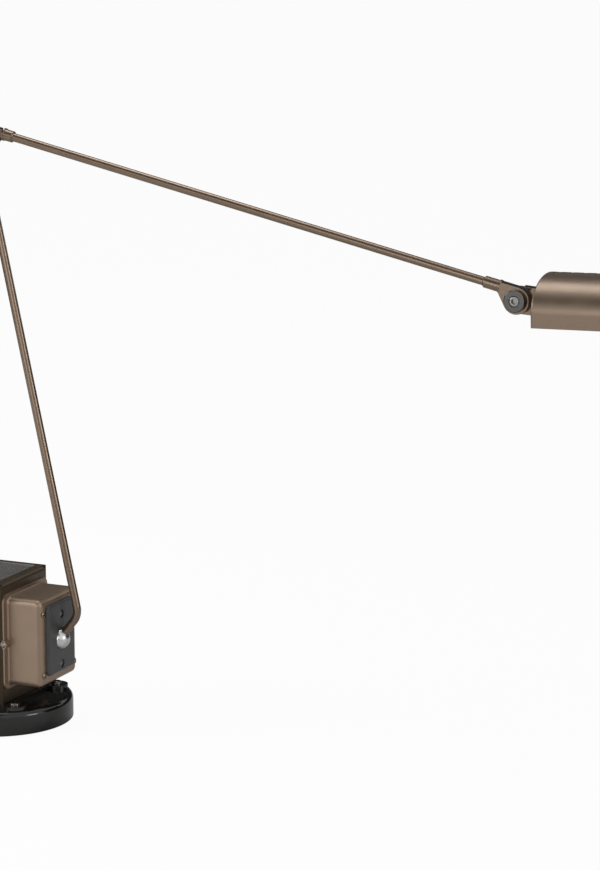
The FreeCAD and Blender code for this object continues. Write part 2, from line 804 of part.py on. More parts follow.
def place_head(shape):
    """From the head's own frame, with its origin at the tilt pivot, to the lamp's frame."""
    turn = FreeCAD.Placement(head_pivot, FreeCAD.Rotation(Y_AXIS, -head_pitch))
    shape.Placement = turn.multiply(shape.Placement)
    return shape


def arch_wire(x, half_y, wall_low, wall_high, crown):
    """Straight side walls under half an ellipse, in a plane across X."""
    ellipse = Part.Ellipse(V(x, half_y, wall_high), V(x, 0, wall_high + crown), V(x, 0, wall_high))
    arc = Part.ArcOfEllipse(ellipse, 0, math.pi).toShape()
    left = V(x, -half_y, wall_high)
    right = V(x, half_y, wall_high)
    return Part.Wire([
        Part.LineSegment(V(x, half_y, wall_low), right).toShape(),
        arc,
        Part.LineSegment(left, V(x, -half_y, wall_low)).toShape(),
        Part.LineSegment(V(x, -half_y, wall_low), V(x, half_y, wall_low)).toShape(),
    ])


shade_end = shade_start + shade_length
slot_count = int((shade_length - 2 * slot_first) / slot_pitch) + 1
spring_line = shade_bottom + shade_wall_height


def arch_solid(x0, x1, inset, low):
    face = Part.Face(arch_wire(x0, shade_half_y - inset, low, spring_line, shade_crown - inset))
    return face.extrude(V(x1 - x0, 0, 0))


def bracket_outline(reach, half_width):
    """Bar with a round end about the pivot, sloped down a little along the head."""
    tilt = direction(bracket_slope)
    across = direction(bracket_slope + 90)
    origin = V(0, 0, 0)
    far = step(origin, tilt, reach)
    top = step(origin, across, half_width)
    low = step(origin, across, -half_width)
    return Part.Wire([
        Part.LineSegment(step(far, across, half_width), top).toShape(),
        Part.Arc(top, step(origin, tilt, -half_width), low).toShape(),
        Part.LineSegment(low, step(far, across, -half_width)).toShape(),
        Part.LineSegment(step(far, across, -half_width), step(far, across, half_width)).toShape(),
    ])


bracket_reach = shade_start + shade_sheet + bracket_inside


def bracket_layer(depth, thickness):
    near = lug_gap / 2 + depth
    return near, near + thickness


def make_bracket_plates():
    plates = []
    hole = rod(joint_bolt_radius + rod_fit, V(0, -20, 0), V(0, 20, 0))
    for depth in (0.0, lug_plate + insulator_sheet):
        y0, y1 = bracket_layer(depth, lug_plate)
        plate = in_plane(bracket_outline(bracket_reach, lug_radius), y0, y1)
        plates.append(place_head(plate.cut(hole)))
    return Part.Compound(plates)


def make_bracket_insulator():
    y0, y1 = bracket_layer(lug_plate, insulator_sheet)
    hole = rod(joint_bolt_radius + rod_fit, V(0, -20, 0), V(0, 20, 0))
    sheet_shape = in_plane(bracket_outline(bracket_reach, lug_radius), y0, y1)
    strip = box(4.0, shade_start - 0.8, y0, y1, lug_radius - 1.0, lug_radius + insulator_proud)
    strip.rotate(V(0, 0, 0), Y_AXIS, -bracket_slope)
    return place_head(sheet_shape.fuse(strip).removeSplitter().cut(hole))


def bracket_slot(play):
    """Room for the bracket: its outline from pivot to tip, grown by a clearance."""
    slot = in_plane(bracket_outline(bracket_reach + play, lug_radius + play),
                    lug_gap / 2 - play, lug_face + play)
    return slot


def make_shade():
    """Arched sheet shell with flat ends, open below, with a row of vent slots on its crown."""
    outer = arch_solid(shade_start, shade_end, 0, shade_bottom)
    ends = edges_where(outer, lambda e: e.BoundBox.XLength < 1e-4 and e.BoundBox.ZMax > spring_line - 0.01
                       and e.BoundBox.ZLength > 1)
    outer = outer.makeFillet(shade_end_radius, ends)
    inner = arch_solid(shade_start + shade_sheet, shade_end - shade_sheet, shade_sheet, shade_bottom - 1)
    shade = outer.cut(inner)
    top = spring_line + shade_crown
    for i in range(slot_count):
        x = shade_start + slot_first + i * slot_pitch
        face = Part.Face(rounded_rectangle(slot_width / 2, slot_length / 2, slot_width / 2 - 0.01))
        slot = face.extrude(V(0, 0, 12))
        slot.translate(V(x, 0, top - 8))
        shade = shade.cut(slot)
    shade = shade.cut(bracket_slot(0.15))
    for y in (-9.0, 11.0):
        shade = shade.cut(rod(1.6, V(shade_start - 1, y, bulb_axis_z + 4), V(shade_start + 3, y, bulb_axis_z + 4)))
    return place_head(shade)


holder_start = shade_start + shade_sheet
holder_end = holder_start + holder_length


def make_lamp_holder():
    """Ceramic block on the end wall, slotted over the bracket, with two sockets for the pins."""
    block = box(holder_start, holder_end, -holder_half_y, holder_half_y + 2,
                bulb_axis_z - holder_half_z, bulb_axis_z + holder_half_z)
    upright = edges_where(block, lambda e: e.BoundBox.XLength > holder_length - 0.1)
    block = block.makeFillet(2.0, upright)
    block = block.cut(bracket_slot(0.05))
    for y in (-bulb_pin_spread, bulb_pin_spread):
        block = block.cut(rod(0.9, V(holder_end - bulb_pin_length, y, bulb_axis_z), V(holder_end + 1, y, bulb_axis_z)))
    for y in (-9.0, 11.0):
        block = block.cut(rod(1.5, V(holder_start, y, bulb_axis_z + 4), V(holder_start + 6, y, bulb_axis_z + 4)))
    return place_head(block)


def make_shade_screws():
    screws = []
    for y in (-9.0, 11.0):
        screws.append(domed_screw(V(shade_start, y, bulb_axis_z + 4), V(-1, 0, 0), 2.8, 1.4, 1.5, 7.0))
    return place_head(Part.Compound(screws))


def make_bulb():
    """Halogen capsule: flat pinched root, round body, domed tip."""
    root = holder_end + 0.2
    body_start = root + 9.0
    tip = root + bulb_length
    pinch = box(root, body_start + 1.0, -4.6, 4.6, bulb_axis_z - 1.8, bulb_axis_z + 1.8)
    profile = Part.Wire([
        Part.LineSegment(V(body_start - 2.0, 0, 0), V(tip, 0, 0)).toShape(),
        Part.Arc(V(tip, 0, 0), V(tip - bulb_radius * 0.29, 0, bulb_radius * 0.71),
                 V(tip - bulb_radius, 0, bulb_radius)).toShape(),
        Part.LineSegment(V(tip - bulb_radius, 0, bulb_radius), V(body_start + 2.0, 0, bulb_radius)).toShape(),
        Part.LineSegment(V(body_start + 2.0, 0, bulb_radius), V(body_start - 2.0, 0, 0)).toShape(),
    ])
    capsule = Part.Face(profile).revolve(V(0, 0, 0), X_AXIS, 360)
    capsule.translate(V(0, 0, bulb_axis_z))
    return place_head(capsule.fuse(pinch))


def make_bulb_pins():
    pins = []
    for y in (-bulb_pin_spread, bulb_pin_spread):
        pins.append(rod(0.6, V(holder_end - bulb_pin_length + 1, y, bulb_axis_z),
                        V(holder_end + 0.2, y, bulb_axis_z)))
    return place_head(Part.Compound(pins))


reflector_low = shade_bottom + reflector_lip_rise


def make_reflector():
    """Bright arched trough under the shade, with a lip out to the side walls and closed ends."""
    play = 0.1
    x0, x1 = holder_end + play, shade_end - shade_sheet - play
    outer = arch_solid(x0, x1, reflector_gap, reflector_low)
    inner = arch_solid(x0 + reflector_sheet, x1 - reflector_sheet, reflector_gap + reflector_sheet, reflector_low - 1)
    lip_y = shade_half_y - shade_sheet - play
    lip = box(x0, x1, -lip_y, lip_y, reflector_low, reflector_low + reflector_sheet)
    opening_y = shade_half_y - reflector_gap - reflector_sheet
    lip = lip.cut(box(x0 + reflector_sheet, x1 - reflector_sheet, -opening_y, opening_y,
                      reflector_low - 1, reflector_low + 2))
    trough = outer.cut(inner).fuse(lip)
    hole = rod(bulb_radius + 1.2, V(x0 - 1, 0, bulb_axis_z), V(x0 + 2, 0, bulb_axis_z))
    return place_head(trough.cut(hole).removeSplitter())


def make_terminal_cover():
    """Small sheet that closes the wiring space under the lamp holder."""
    play = 0.1
    y = shade_half_y - shade_sheet - play
    plate = box(holder_start + play, holder_end + play, -y, y, reflector_low, reflector_low + reflector_sheet)
    fold = box(holder_start + play, holder_start + play + reflector_sheet, -y, -holder_half_y - 1,
               reflector_low, reflector_low + 8)
    other = box(holder_start + play, holder_start + play + reflector_sheet, holder_half_y + 3, y,
                reflector_low, reflector_low + 8)
    return place_head(plate.fuse(fold).fuse(other).removeSplitter().cut(bracket_slot(0.2)))


# ---- transformer ----

def make_transformer_core():
    """Laminated E-I stack: three upright legs between two yokes."""
    core = box(-core_half_x, core_half_x, -core_half_y, core_half_y, core_low, core_high)
    inner = core_half_y - core_leg
    for sy in (1, -1):
        y0, y1 = sorted((sy * core_leg, sy * inner))
        core = core.cut(box(-core_half_x, core_half_x, y0, y1, core_low + core_leg, core_high - core_leg))
    return core


winding_half_x = core_half_x + winding_overhang


def make_transformer_winding():
    """Wound coil round the middle leg, standing out into both side covers."""
    play = winding_play
    low, high = core_low + core_leg + play, core_high - core_leg - play
    half_y = core_half_y - core_leg - play
    coil = box(-winding_half_x, winding_half_x, -half_y, half_y, low, high)
    upright = edges_where(coil, lambda e: e.BoundBox.ZLength > high - low - 0.1)
    coil = coil.makeFillet(4.0, upright)
    cheeks = []
    for z in (low, high - 1.6):
        cheeks.append(box(-winding_half_x, winding_half_x, -half_y, half_y, z, z + 1.6))
    coil = coil.fuse(cheeks)
    return coil.cut(box(-core_half_x - play, core_half_x + play, -core_leg, core_leg, low, high)).removeSplitter()


def make_transformer_feet():
    """Two pressed channels that carry the core on the foot plate."""
    feet = []
    for sy in (1, -1):
        y0, y1 = core_half_y - foot_channel_width, core_half_y
        t = sheet
        points = [(0, y0, plate_top), (0, y1, plate_top), (0, y1, plate_top + t), (0, y0 + t, plate_top + t),
                  (0, y0 + t, core_low - t), (0, y1, core_low - t), (0, y1, core_low), (0, y0, core_low)]
        channel = Part.Face(polygon(points)).extrude(V(2 * core_half_x, 0, 0))
        channel.translate(V(-core_half_x, 0, 0))
        if sy < 0:
            channel = channel.mirror(V(0, 0, 0), Y_AXIS)
        feet.append(channel)
    return Part.Compound(feet)


def make_terminal_block():
    """Row of screw terminals on the coil's left face."""
    x1 = -winding_half_x
    low = core_high - core_leg - 18.0
    block = box(x1 - 8.0, x1, -18.0, 18.0, low, low + 10.0)
    for i in range(5):
        y = -14.4 + 7.2 * i
        block = block.cut(rod(1.8, V(x1 - 8.0, y, low + 5.0), V(x1 - 3.0, y, low + 5.0)))
    return block


# ---- switch and cord inlet ----

inlet_x = -body_half_x - inlet_out
switch_face = -cover_reach - switch_bezel
rocker_axis_x = -cover_reach + 2.0


def make_switch_body():
    """Snap-in housing with a bezel and a well for the rocker."""
    bezel = plate_across_x(-cover_reach - switch_bezel, -cover_reach, switch_half_y,
                           switch_z - switch_half_z, switch_z + switch_half_z, 1.5)
    neck_y = switch_half_y - switch_rim - 0.1
    neck_z = switch_half_z - switch_rim - 0.1
    well = box(-cover_reach, -cover_reach + switch_depth, -neck_y, neck_y, switch_z - neck_z, switch_z + neck_z)
    room_y = neck_y - 1.0
    room_z = neck_z - 1.0
    body = bezel.fuse(well).removeSplitter()
    body = body.cut(box(switch_face - 1, -cover_reach + 8.0, -room_y, room_y, switch_z - room_z, switch_z + room_z))
    return body.cut(rod(rocker_pin_radius + 0.08, V(rocker_axis_x, -neck_y + 0.3, switch_z),
                        V(rocker_axis_x, neck_y - 0.3, switch_z)))


def make_rocker():
    """Two-way rocker key, drawn at the tilt of its off position."""
    room_y = switch_half_y - switch_rim - 1.1
    room_z = switch_half_z - switch_rim - 1.1
    half_y = room_y - rocker_play
    half_z = room_z - rocker_play - 0.5
    crest = switch_face - 0.6
    horn = crest - 1.4
    points = [(rocker_axis_x + 2.2, 0, -1.6), (rocker_axis_x + 2.2, 0, 1.6), (rocker_axis_x - 1.2, 0, half_z),
              (horn, 0, half_z), (crest, 0, 0), (horn, 0, -half_z), (rocker_axis_x - 1.2, 0, -half_z)]
    key = in_plane(polygon(points), -half_y, half_y)
    pin_y = room_y + 0.5
    key = key.fuse(rod(rocker_pin_radius, V(rocker_axis_x, -pin_y, 0), V(rocker_axis_x, pin_y, 0)))
    key.rotate(V(rocker_axis_x, 0, 0), Y_AXIS, rocker_tilt)
    key.translate(V(0, 0, switch_z))
    return key


def make_cord_inlet():
    """Rubber bush for the supply lead, in the back wall of the left cover."""
    wall = cover_half_y - sheet
    outer = ring(inlet_radius, inlet_bore, V(inlet_x, cover_half_y, inlet_z), V(inlet_x, cover_half_y + 2.2, inlet_z))
    waist = ring(inlet_radius - 1.2, inlet_bore, V(inlet_x, wall, inlet_z), V(inlet_x, cover_half_y, inlet_z))
    inner = ring(inlet_radius, inlet_bore, V(inlet_x, wall - 3.0, inlet_z), V(inlet_x, wall, inlet_z))
    return outer.fuse(waist).fuse(inner).removeSplitter()


# ---- all the pieces ----

hinge_hole = joint_bolt_radius + rod_fit
pieces = {
    "foot_disc": make_foot_disc(),
    "foot_pad": make_foot_pad(),
    "foot_plate": make_foot_plate(),
    "foot_bolts": make_foot_bolts(),
    "body_wrap": make_body_wrap(),
    "front_panel": make_end_panel(-1),
    "back_panel": make_end_panel(1),
    "seam_screws": make_seam_screws(),
    "top_grille": make_top_grille(),
    "right_cover": make_right_cover(),
    "left_cover": make_left_cover(),
    "cover_screws": make_cover_screws(),
    "cover_posts": make_cover_posts(),
    "pivot_plate": make_pivot_plate(),
    "plate_screws": make_plate_screws(),
    "friction_cup": make_friction_cup(),
    "disc_springs": make_disc_springs(),
    "spring_strap": make_spring_strap(),
    "pivot_ball": make_pivot_ball(),
    "lower_rod": make_lower_rod(),
    "lower_conductor": make_lower_conductor(),
    "lower_elbow_sleeve": lower_fitting.sleeve(),
    "lower_elbow_plates": lower_fitting.plates(hinge_hole),
    "lower_elbow_insulator": lower_fitting.insulator(hinge_hole),
    "upper_rod": make_upper_rod(),
    "upper_conductor": make_upper_conductor(),
    "upper_elbow_sleeve": elbow_fitting.sleeve(),
    "upper_elbow_plates": elbow_fitting.plates(joint_bolt_radius),
    "upper_elbow_insulator": elbow_fitting.insulator(joint_bolt_radius),
    "elbow_washers": make_joint_washers(elbow_pivot),
    "elbow_friction_disc": make_friction_disc(elbow_pivot),
    "elbow_screw": make_joint_screw(elbow_pivot),
    "elbow_nut": make_joint_nut(elbow_pivot),
    "wrist_sleeve": wrist_fitting.sleeve(),
    "wrist_plates": wrist_fitting.plates(joint_bolt_radius),
    "wrist_insulator": wrist_fitting.insulator(joint_bolt_radius),
    "head_washers": make_joint_washers(head_pivot),
    "head_friction_disc": make_friction_disc(head_pivot),
    "head_screw": make_joint_screw(head_pivot),
    "head_nut": make_joint_nut(head_pivot),
    "head_bracket_plates": make_bracket_plates(),
    "head_bracket_insulator": make_bracket_insulator(),
    "shade": make_shade(),
    "shade_screws": make_shade_screws(),
    "lamp_holder": make_lamp_holder(),
    "bulb": make_bulb(),
    "bulb_pins": make_bulb_pins(),
    "reflector": make_reflector(),
    "terminal_cover": make_terminal_cover(),
    "transformer_core": make_transformer_core(),
    "transformer_winding": make_transformer_winding(),
    "transformer_feet": make_transformer_feet(),
    "terminal_block": make_terminal_block(),
    "switch_body": make_switch_body(),
    "rocker": make_rocker(),
    "cord_inlet": make_cord_inlet(),
}

os.makedirs("parts", exist_ok=True)
for name, shape in pieces.items():
    if not shape.isValid():
        raise RuntimeError(name + " is not a valid shape")
    shape.exportStep(os.path.join("parts", name + ".step"))
    print(name, len(shape.Solids), "solids", round(shape.Volume, 1), "mm3")

for name, point in (("ball", ball_centre), ("elbow", elbow_pivot), ("head", head_pivot)):
    print("joint", name, round(point.x, 4), round(point.y, 4), round(point.z, 4))
print("neck direction", round(neck_direction.x, 6), round(neck_direction.z, 6))
print("rocker axis", round(rocker_axis_x, 4), switch_z)
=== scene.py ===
import json
import math
import bpy
from mathutils import Matrix, Vector

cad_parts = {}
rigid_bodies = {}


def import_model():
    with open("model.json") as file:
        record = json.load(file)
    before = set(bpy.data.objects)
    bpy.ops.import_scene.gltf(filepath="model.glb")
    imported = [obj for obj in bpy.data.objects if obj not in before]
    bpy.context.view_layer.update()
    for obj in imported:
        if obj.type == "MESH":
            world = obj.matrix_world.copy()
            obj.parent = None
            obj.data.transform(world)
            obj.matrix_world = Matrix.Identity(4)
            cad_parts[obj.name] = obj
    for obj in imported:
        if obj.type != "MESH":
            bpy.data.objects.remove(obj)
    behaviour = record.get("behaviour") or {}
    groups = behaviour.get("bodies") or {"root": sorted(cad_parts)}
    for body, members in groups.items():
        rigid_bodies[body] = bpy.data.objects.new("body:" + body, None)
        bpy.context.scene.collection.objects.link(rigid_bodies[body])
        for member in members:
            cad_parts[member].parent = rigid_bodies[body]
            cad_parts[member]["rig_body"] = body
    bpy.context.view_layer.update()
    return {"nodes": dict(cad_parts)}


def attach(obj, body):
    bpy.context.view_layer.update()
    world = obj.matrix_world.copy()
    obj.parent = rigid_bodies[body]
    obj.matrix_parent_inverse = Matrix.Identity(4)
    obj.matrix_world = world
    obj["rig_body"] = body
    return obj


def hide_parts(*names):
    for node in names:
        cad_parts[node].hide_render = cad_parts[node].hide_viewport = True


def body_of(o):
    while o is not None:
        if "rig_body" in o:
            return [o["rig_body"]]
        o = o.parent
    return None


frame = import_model()
nodes = frame["nodes"]
scene = bpy.context.scene
mm = 0.001
print("frame loaded:", len(nodes), "nodes")

# where the joints are, and which way the head and the neck point, in millimetres and degrees
lamp = {
    "ball": (61.2, 0, 77), "elbow": (-0.8676, 0, 505.2704), "headPivot": (475.7854, 0, 396.9775),
    "neckAngle": 49.4, "lowerLean": 12.2, "upperDroop": 12.8, "headPitch": 1.4, "pivotOffset": 6.5,
}


def point(x, y, z):
    return Vector((x, y, z)) * mm


def heading(angle):
    # unit vector in the arms' plane, degrees up from +X
    a = math.radians(angle)
    return Vector((math.cos(a), 0, math.sin(a)))


ballCentre = point(*lamp["ball"])
elbowPivot = point(*lamp["elbow"])
headPivot = point(*lamp["headPivot"])
headTurn = Matrix.Translation(headPivot) @ Matrix.Rotation(math.radians(-lamp["headPitch"]), 4, "Y")


def deselectAll():
    if bpy.context.mode != "OBJECT":
        bpy.ops.object.mode_set(mode="OBJECT")
    bpy.ops.object.select_all(action="DESELECT")


def workOn(piece):
    deselectAll()
    piece.select_set(True)
    bpy.context.view_layer.objects.active = piece


def pick(piece, kind, test):
    # selects faces by centre and normal, or edges by their two ends, and stays in edit mode
    workOn(piece)
    mesh = piece.data
    for part in (mesh.vertices, mesh.edges, mesh.polygons):
        part.foreach_set("select", [False] * len(part))
    if kind == "FACE":
        for face in mesh.polygons:
            face.select = test(face.center / mm, face.normal)
    else:
        for edge in mesh.edges:
            a, b = (mesh.vertices[i].co / mm for i in edge.vertices)
            edge.select = test(a, b)
    bpy.context.tool_settings.mesh_select_mode = (False, kind == "EDGE", kind == "FACE")
    bpy.ops.object.mode_set(mode="EDIT")


def done():
    bpy.ops.object.mode_set(mode="OBJECT")


def extrude(move):
    bpy.ops.mesh.extrude_region_move(TRANSFORM_OT_translate={"value": move})


def bevelPicked(width, segments):
    bpy.ops.mesh.bevel(offset=width * mm, segments=segments, affect="EDGES")


def modify(piece, kind, **settings):
    workOn(piece)
    modifier = piece.modifiers.new(kind.lower(), kind)
    for key, value in settings.items():
        setattr(modifier, key, value)
    bpy.ops.object.modifier_apply(modifier=modifier.name)


def cutAway(piece, cutter):
    modify(piece, "BOOLEAN", operation="DIFFERENCE", object=cutter, solver="EXACT")
    bpy.data.objects.remove(cutter)


def softenEdges(piece, width, segments=2, degrees=30):
    modify(piece, "BEVEL", width=width * mm, segments=segments, limit_method="ANGLE",
           angle_limit=math.radians(degrees))
    workOn(piece)
    bpy.ops.object.mode_set(mode="EDIT")
    bpy.ops.mesh.select_all(action="SELECT")
    bpy.ops.mesh.dissolve_degenerate(threshold=0.0001 * mm)
    done()
    bpy.ops.object.shade_smooth_by_angle(angle=math.radians(degrees + 5))
    modify(piece, "WEIGHTED_NORMAL", keep_sharp=True)


def smooth(piece, degrees=35):
    workOn(piece)
    bpy.ops.object.shade_smooth_by_angle(angle=math.radians(degrees))


def cleanNormals(piece):
    workOn(piece)
    bpy.ops.object.mode_set(mode="EDIT")
    bpy.ops.mesh.select_all(action="SELECT")
    bpy.ops.mesh.remove_doubles(threshold=0.001 * mm)
    bpy.ops.mesh.normals_make_consistent(inside=False)
    done()


def addCylinder(radius, depth, place, direction=(0, 0, 1), sides=48):
    deselectAll()
    turn = Vector(direction).to_track_quat("Z", "Y").to_euler()
    bpy.ops.mesh.primitive_cylinder_add(vertices=sides, radius=radius * mm, depth=depth * mm,
                                        location=place, rotation=turn)
    bpy.ops.object.transform_apply(location=True, rotation=True, scale=True)
    return bpy.context.object


def addCube(sizes, place):
    deselectAll()
    bpy.ops.mesh.primitive_cube_add(size=1, location=place)
    bpy.context.object.scale = Vector(sizes) * mm
    bpy.ops.object.transform_apply(location=True, rotation=True, scale=True)
    return bpy.context.object


def addRing(radius, place, direction, sides=48):
    deselectAll()
    turn = Vector(direction).to_track_quat("Z", "Y").to_euler()
    bpy.ops.mesh.primitive_circle_add(vertices=sides, radius=radius * mm, location=place, rotation=turn)
    bpy.ops.object.transform_apply(location=True, rotation=True, scale=True)
    return bpy.context.object


def copyOf(piece, move):
    twin = piece.copy()
    twin.data = piece.data.copy()
    twin.data.transform(move)
    scene.collection.objects.link(twin)
    return twin


def finishPiece(piece, name, body, material, replaced=()):
    workOn(piece)
    bpy.ops.object.transform_apply(location=True, rotation=True, scale=True)
    piece.name = name
    piece.data.name = name
    piece.data.materials.clear()
    piece.data.materials.append(material)
    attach(piece, body)
    if replaced:
        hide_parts(*replaced)
    return piece


def newMaterial(name):
    material = bpy.data.materials.new(name)
    material.use_nodes = True
    tree = material.node_tree
    return material, tree, tree.nodes["Principled BSDF"]


def objectSpace(tree, scale=(1, 1, 1)):
    # object coordinates in millimetres, stretched by scale
    coords = tree.nodes.new("ShaderNodeTexCoord")
    mapping = tree.nodes.new("ShaderNodeMapping")
    mapping.inputs["Scale"].default_value = [s / mm for s in scale]
    tree.links.new(coords.outputs["Object"], mapping.inputs["Vector"])
    return mapping.outputs["Vector"]


def noise(tree, vector, size, detail=3, rough=0.5):
    # size is the width of one blotch in millimetres
    tex = tree.nodes.new("ShaderNodeTexNoise")
    tex.inputs["Scale"].default_value = 1 / size
    tex.inputs["Detail"].default_value = detail
    tex.inputs["Roughness"].default_value = rough
    tree.links.new(vector, tex.inputs["Vector"])
    return tex.outputs["Fac"]


def spread(tree, value, low, high, outLow, outHigh):
    node = tree.nodes.new("ShaderNodeMapRange")
    for key, number in (("From Min", low), ("From Max", high), ("To Min", outLow), ("To Max", outHigh)):
        node.inputs[key].default_value = number
    tree.links.new(value, node.inputs["Value"])
    return node.outputs["Result"]


def mixColours(tree, factor, first, second):
    node = tree.nodes.new("ShaderNodeMix")
    node.data_type = "RGBA"
    tree.links.new(factor, node.inputs["Factor"])
    for socket, colour in (("A", first), ("B", second)):
        slot = [i for i in node.inputs if i.name == socket and i.type == "RGBA"][0]
        if isinstance(colour, (tuple, list)):
            slot.default_value = (*colour, 1)
        else:
            tree.links.new(colour, slot)
    return [o for o in node.outputs if o.type == "RGBA"][0]


def bump(tree, shader, height, strength, distance):
    node = tree.nodes.new("ShaderNodeBump")
    node.inputs["Strength"].default_value = strength
    node.inputs["Distance"].default_value = distance * mm
    tree.links.new(height, node.inputs["Height"])
    tree.links.new(node.outputs["Normal"], shader.inputs["Normal"])


def roughBetween(tree, shader, value, low, high):
    # roughness follows a noise, whose values lie mostly between 0.3 and 0.7
    tree.links.new(spread(tree, value, 0.3, 0.7, low, high), shader.inputs["Roughness"])


def shades(colour, dark=0.85, light=1.15):
    return tuple(c * dark for c in colour), tuple(min(1, c * light) for c in colour)


def bronzePaint(name, colour, roughness=0.36, metallic=0.6, specular=0.4):
    # satin metallic paint: fine flakes, faint mottling and orange peel
    material, tree, shader = newMaterial(name)
    space = objectSpace(tree)
    flakes = noise(tree, space, 0.16, 2, 0.6)
    clouds = noise(tree, space, 14, 2, 0.5)
    dark, light = shades(colour)
    base = mixColours(tree, spread(tree, flakes, 0.35, 0.65, 0, 1), dark, light)
    paler = mixColours(tree, spread(tree, clouds, 0.3, 0.7, 0, 0.25), base, light)
    tree.links.new(paler, shader.inputs["Base Color"])
    roughBetween(tree, shader, clouds, roughness - 0.03, roughness + 0.03)
    shader.inputs["Metallic"].default_value = metallic
    shader.inputs["Specular IOR Level"].default_value = specular
    bump(tree, shader, flakes, 0.12, 0.04)
    return material


def enamel(name, colour, roughness, peel=0.05, specular=0.3):
    # plain enamel or powder coat with orange peel
    material, tree, shader = newMaterial(name)
    space = objectSpace(tree)
    grain = noise(tree, space, 0.9, 3, 0.55)
    clouds = noise(tree, space, 22, 3, 0.5)
    light = tuple(min(1, c * 1.25 + 0.003) for c in colour)
    tree.links.new(mixColours(tree, clouds, colour, light), shader.inputs["Base Color"])
    roughBetween(tree, shader, clouds, roughness * 0.9, roughness * 1.12)
    shader.inputs["Specular IOR Level"].default_value = specular
    bump(tree, shader, grain, 0.15, peel)
    return material


def plainMetal(name, colour, roughness, stretch=(1, 1, 1), scratch=0.2):
    # bare or plated metal; stretch squeezes the scratches along one axis
    material, tree, shader = newMaterial(name)
    grain = noise(tree, objectSpace(tree, stretch), 0.25, 4, 0.6)
    clouds = noise(tree, objectSpace(tree), 6, 2, 0.5)
    dark, _ = shades(colour, 0.82)
    tree.links.new(mixColours(tree, grain, dark, colour), shader.inputs["Base Color"])
    roughBetween(tree, shader, clouds, roughness * 0.8, roughness * 1.25)
    shader.inputs["Metallic"].default_value = 1
    bump(tree, shader, grain, scratch, 0.02)
    return material


def moulded(name, colour, roughness, grainSize=0.5, depth=0.03, specular=0.35):
    # moulded plastic, rubber or ceramic with a fine texture
    material, tree, shader = newMaterial(name)
    space = objectSpace(tree)
    grain = noise(tree, space, grainSize, 3, 0.6)
    clouds = noise(tree, space, 9, 2, 0.5)
    light = tuple(min(1, c * 1.18 + 0.004) for c in colour)
    tree.links.new(mixColours(tree, clouds, colour, light), shader.inputs["Base Color"])
    roughBetween(tree, shader, grain, roughness * 0.88, min(1, roughness * 1.12))
    shader.inputs["Specular IOR Level"].default_value = specular
    bump(tree, shader, grain, 0.25, depth)
    return material


def banded(name, colour, roughness, sheetThickness, axis, metallic=0.6):
    # stacked laminations or wound wire seen on edge, one line per sheet along axis
    material, tree, shader = newMaterial(name)
    scale = [0.02, 0.02, 0.02]
    scale[axis] = 1
    wave = tree.nodes.new("ShaderNodeTexWave")
    wave.bands_direction = "XYZ"[axis]
    wave.inputs["Scale"].default_value = 0.314 / sheetThickness
    wave.inputs["Distortion"].default_value = 0.6
    tree.links.new(objectSpace(tree, scale), wave.inputs["Vector"])
    light = tuple(min(1, c * 1.7) for c in colour)
    bands = wave.outputs["Fac"]
    tree.links.new(mixColours(tree, bands, colour, light), shader.inputs["Base Color"])
    rough = spread(tree, bands, 0, 1, roughness * 1.2, roughness * 0.8)
    tree.links.new(rough, shader.inputs["Roughness"])
    shader.inputs["Metallic"].default_value = metallic
    bump(tree, shader, bands, 0.3, 0.08)
    return material


def lampGlass(name):
    material, tree, shader = newMaterial(name)
    ripple = noise(tree, objectSpace(tree), 3, 2, 0.5)
    shader.inputs["Base Color"].default_value = (0.96, 0.98, 0.98, 1)
    shader.inputs["Transmission Weight"].default_value = 1
    shader.inputs["IOR"].default_value = 1.46
    roughBetween(tree, shader, ripple, 0.01, 0.04)
    bump(tree, shader, ripple, 0.1, 0.05)
    return material


bronze = (0.175, 0.127, 0.092)
bronzeArm = bronzePaint("bronzeArm", bronze, 0.26, 0.8)
# the covers get the arms' bronze made lighter: painted light for their lit faces
bronzeCoverPaintedLight = bronzePaint("bronzeCoverPaintedLight", (0.26, 0.188, 0.135), 0.36)
# the body wrap gets a much darker bronze: painted shade for the shadow under and beside the covers
bronzeWrapPaintedShade = bronzePaint("bronzeWrapPaintedShade", (0.085, 0.062, 0.04), 0.38)
bronzeShade = bronzePaint("bronzeShade", bronze, 0.34)
# the front and back panels get a near-black bronze: painted shade matched to the shaded front panel, used on
# the back panel too
panelPaintedShade = bronzePaint("panelPaintedShade", (0.035, 0.024, 0.012), 0.42, 0.4, 0.2)
blackEnamel = enamel("blackEnamel", (0.002, 0.002, 0.0015), 0.15, 0.003, 0.5)
darkSteel = enamel("darkSteel", (0.006, 0.005, 0.004), 0.22, 0.02, 0.5)
grilleBlack = enamel("grilleBlack", (0.17, 0.165, 0.16), 0.3, 0.02, 0.6)
blackOxide = plainMetal("blackOxide", (0.12, 0.11, 0.1), 0.2)
brightScrew = plainMetal("brightScrew", (0.3, 0.27, 0.24), 0.2)
bronzeScrew = plainMetal("bronzeScrew", (0.25, 0.18, 0.12), 0.25)
zinc = plainMetal("zinc", (0.62, 0.62, 0.6), 0.34)
ballSilver = plainMetal("ballSilver", (0.6, 0.59, 0.59), 0.26)
springSteel = plainMetal("springSteel", (0.36, 0.35, 0.34), 0.3)
jointGrey = plainMetal("jointGrey", (0.09, 0.088, 0.083), 0.22)
screwBlack = plainMetal("screwBlack", (0.24, 0.235, 0.225), 0.28)
plateGrey = moulded("plateGrey", (0.045, 0.045, 0.046), 0.4, 0.6, 0.04)
insulatorBlack = moulded("insulatorBlack", (0.004, 0.004, 0.004), 0.5)
polymer = moulded("polymer", (0.75, 0.72, 0.64), 0.5)
ceramicWhite = moulded("ceramicWhite", (0.78, 0.75, 0.68), 0.55, 0.7, 0.05)
blackPlastic = moulded("blackPlastic", (0.012, 0.012, 0.012), 0.38)
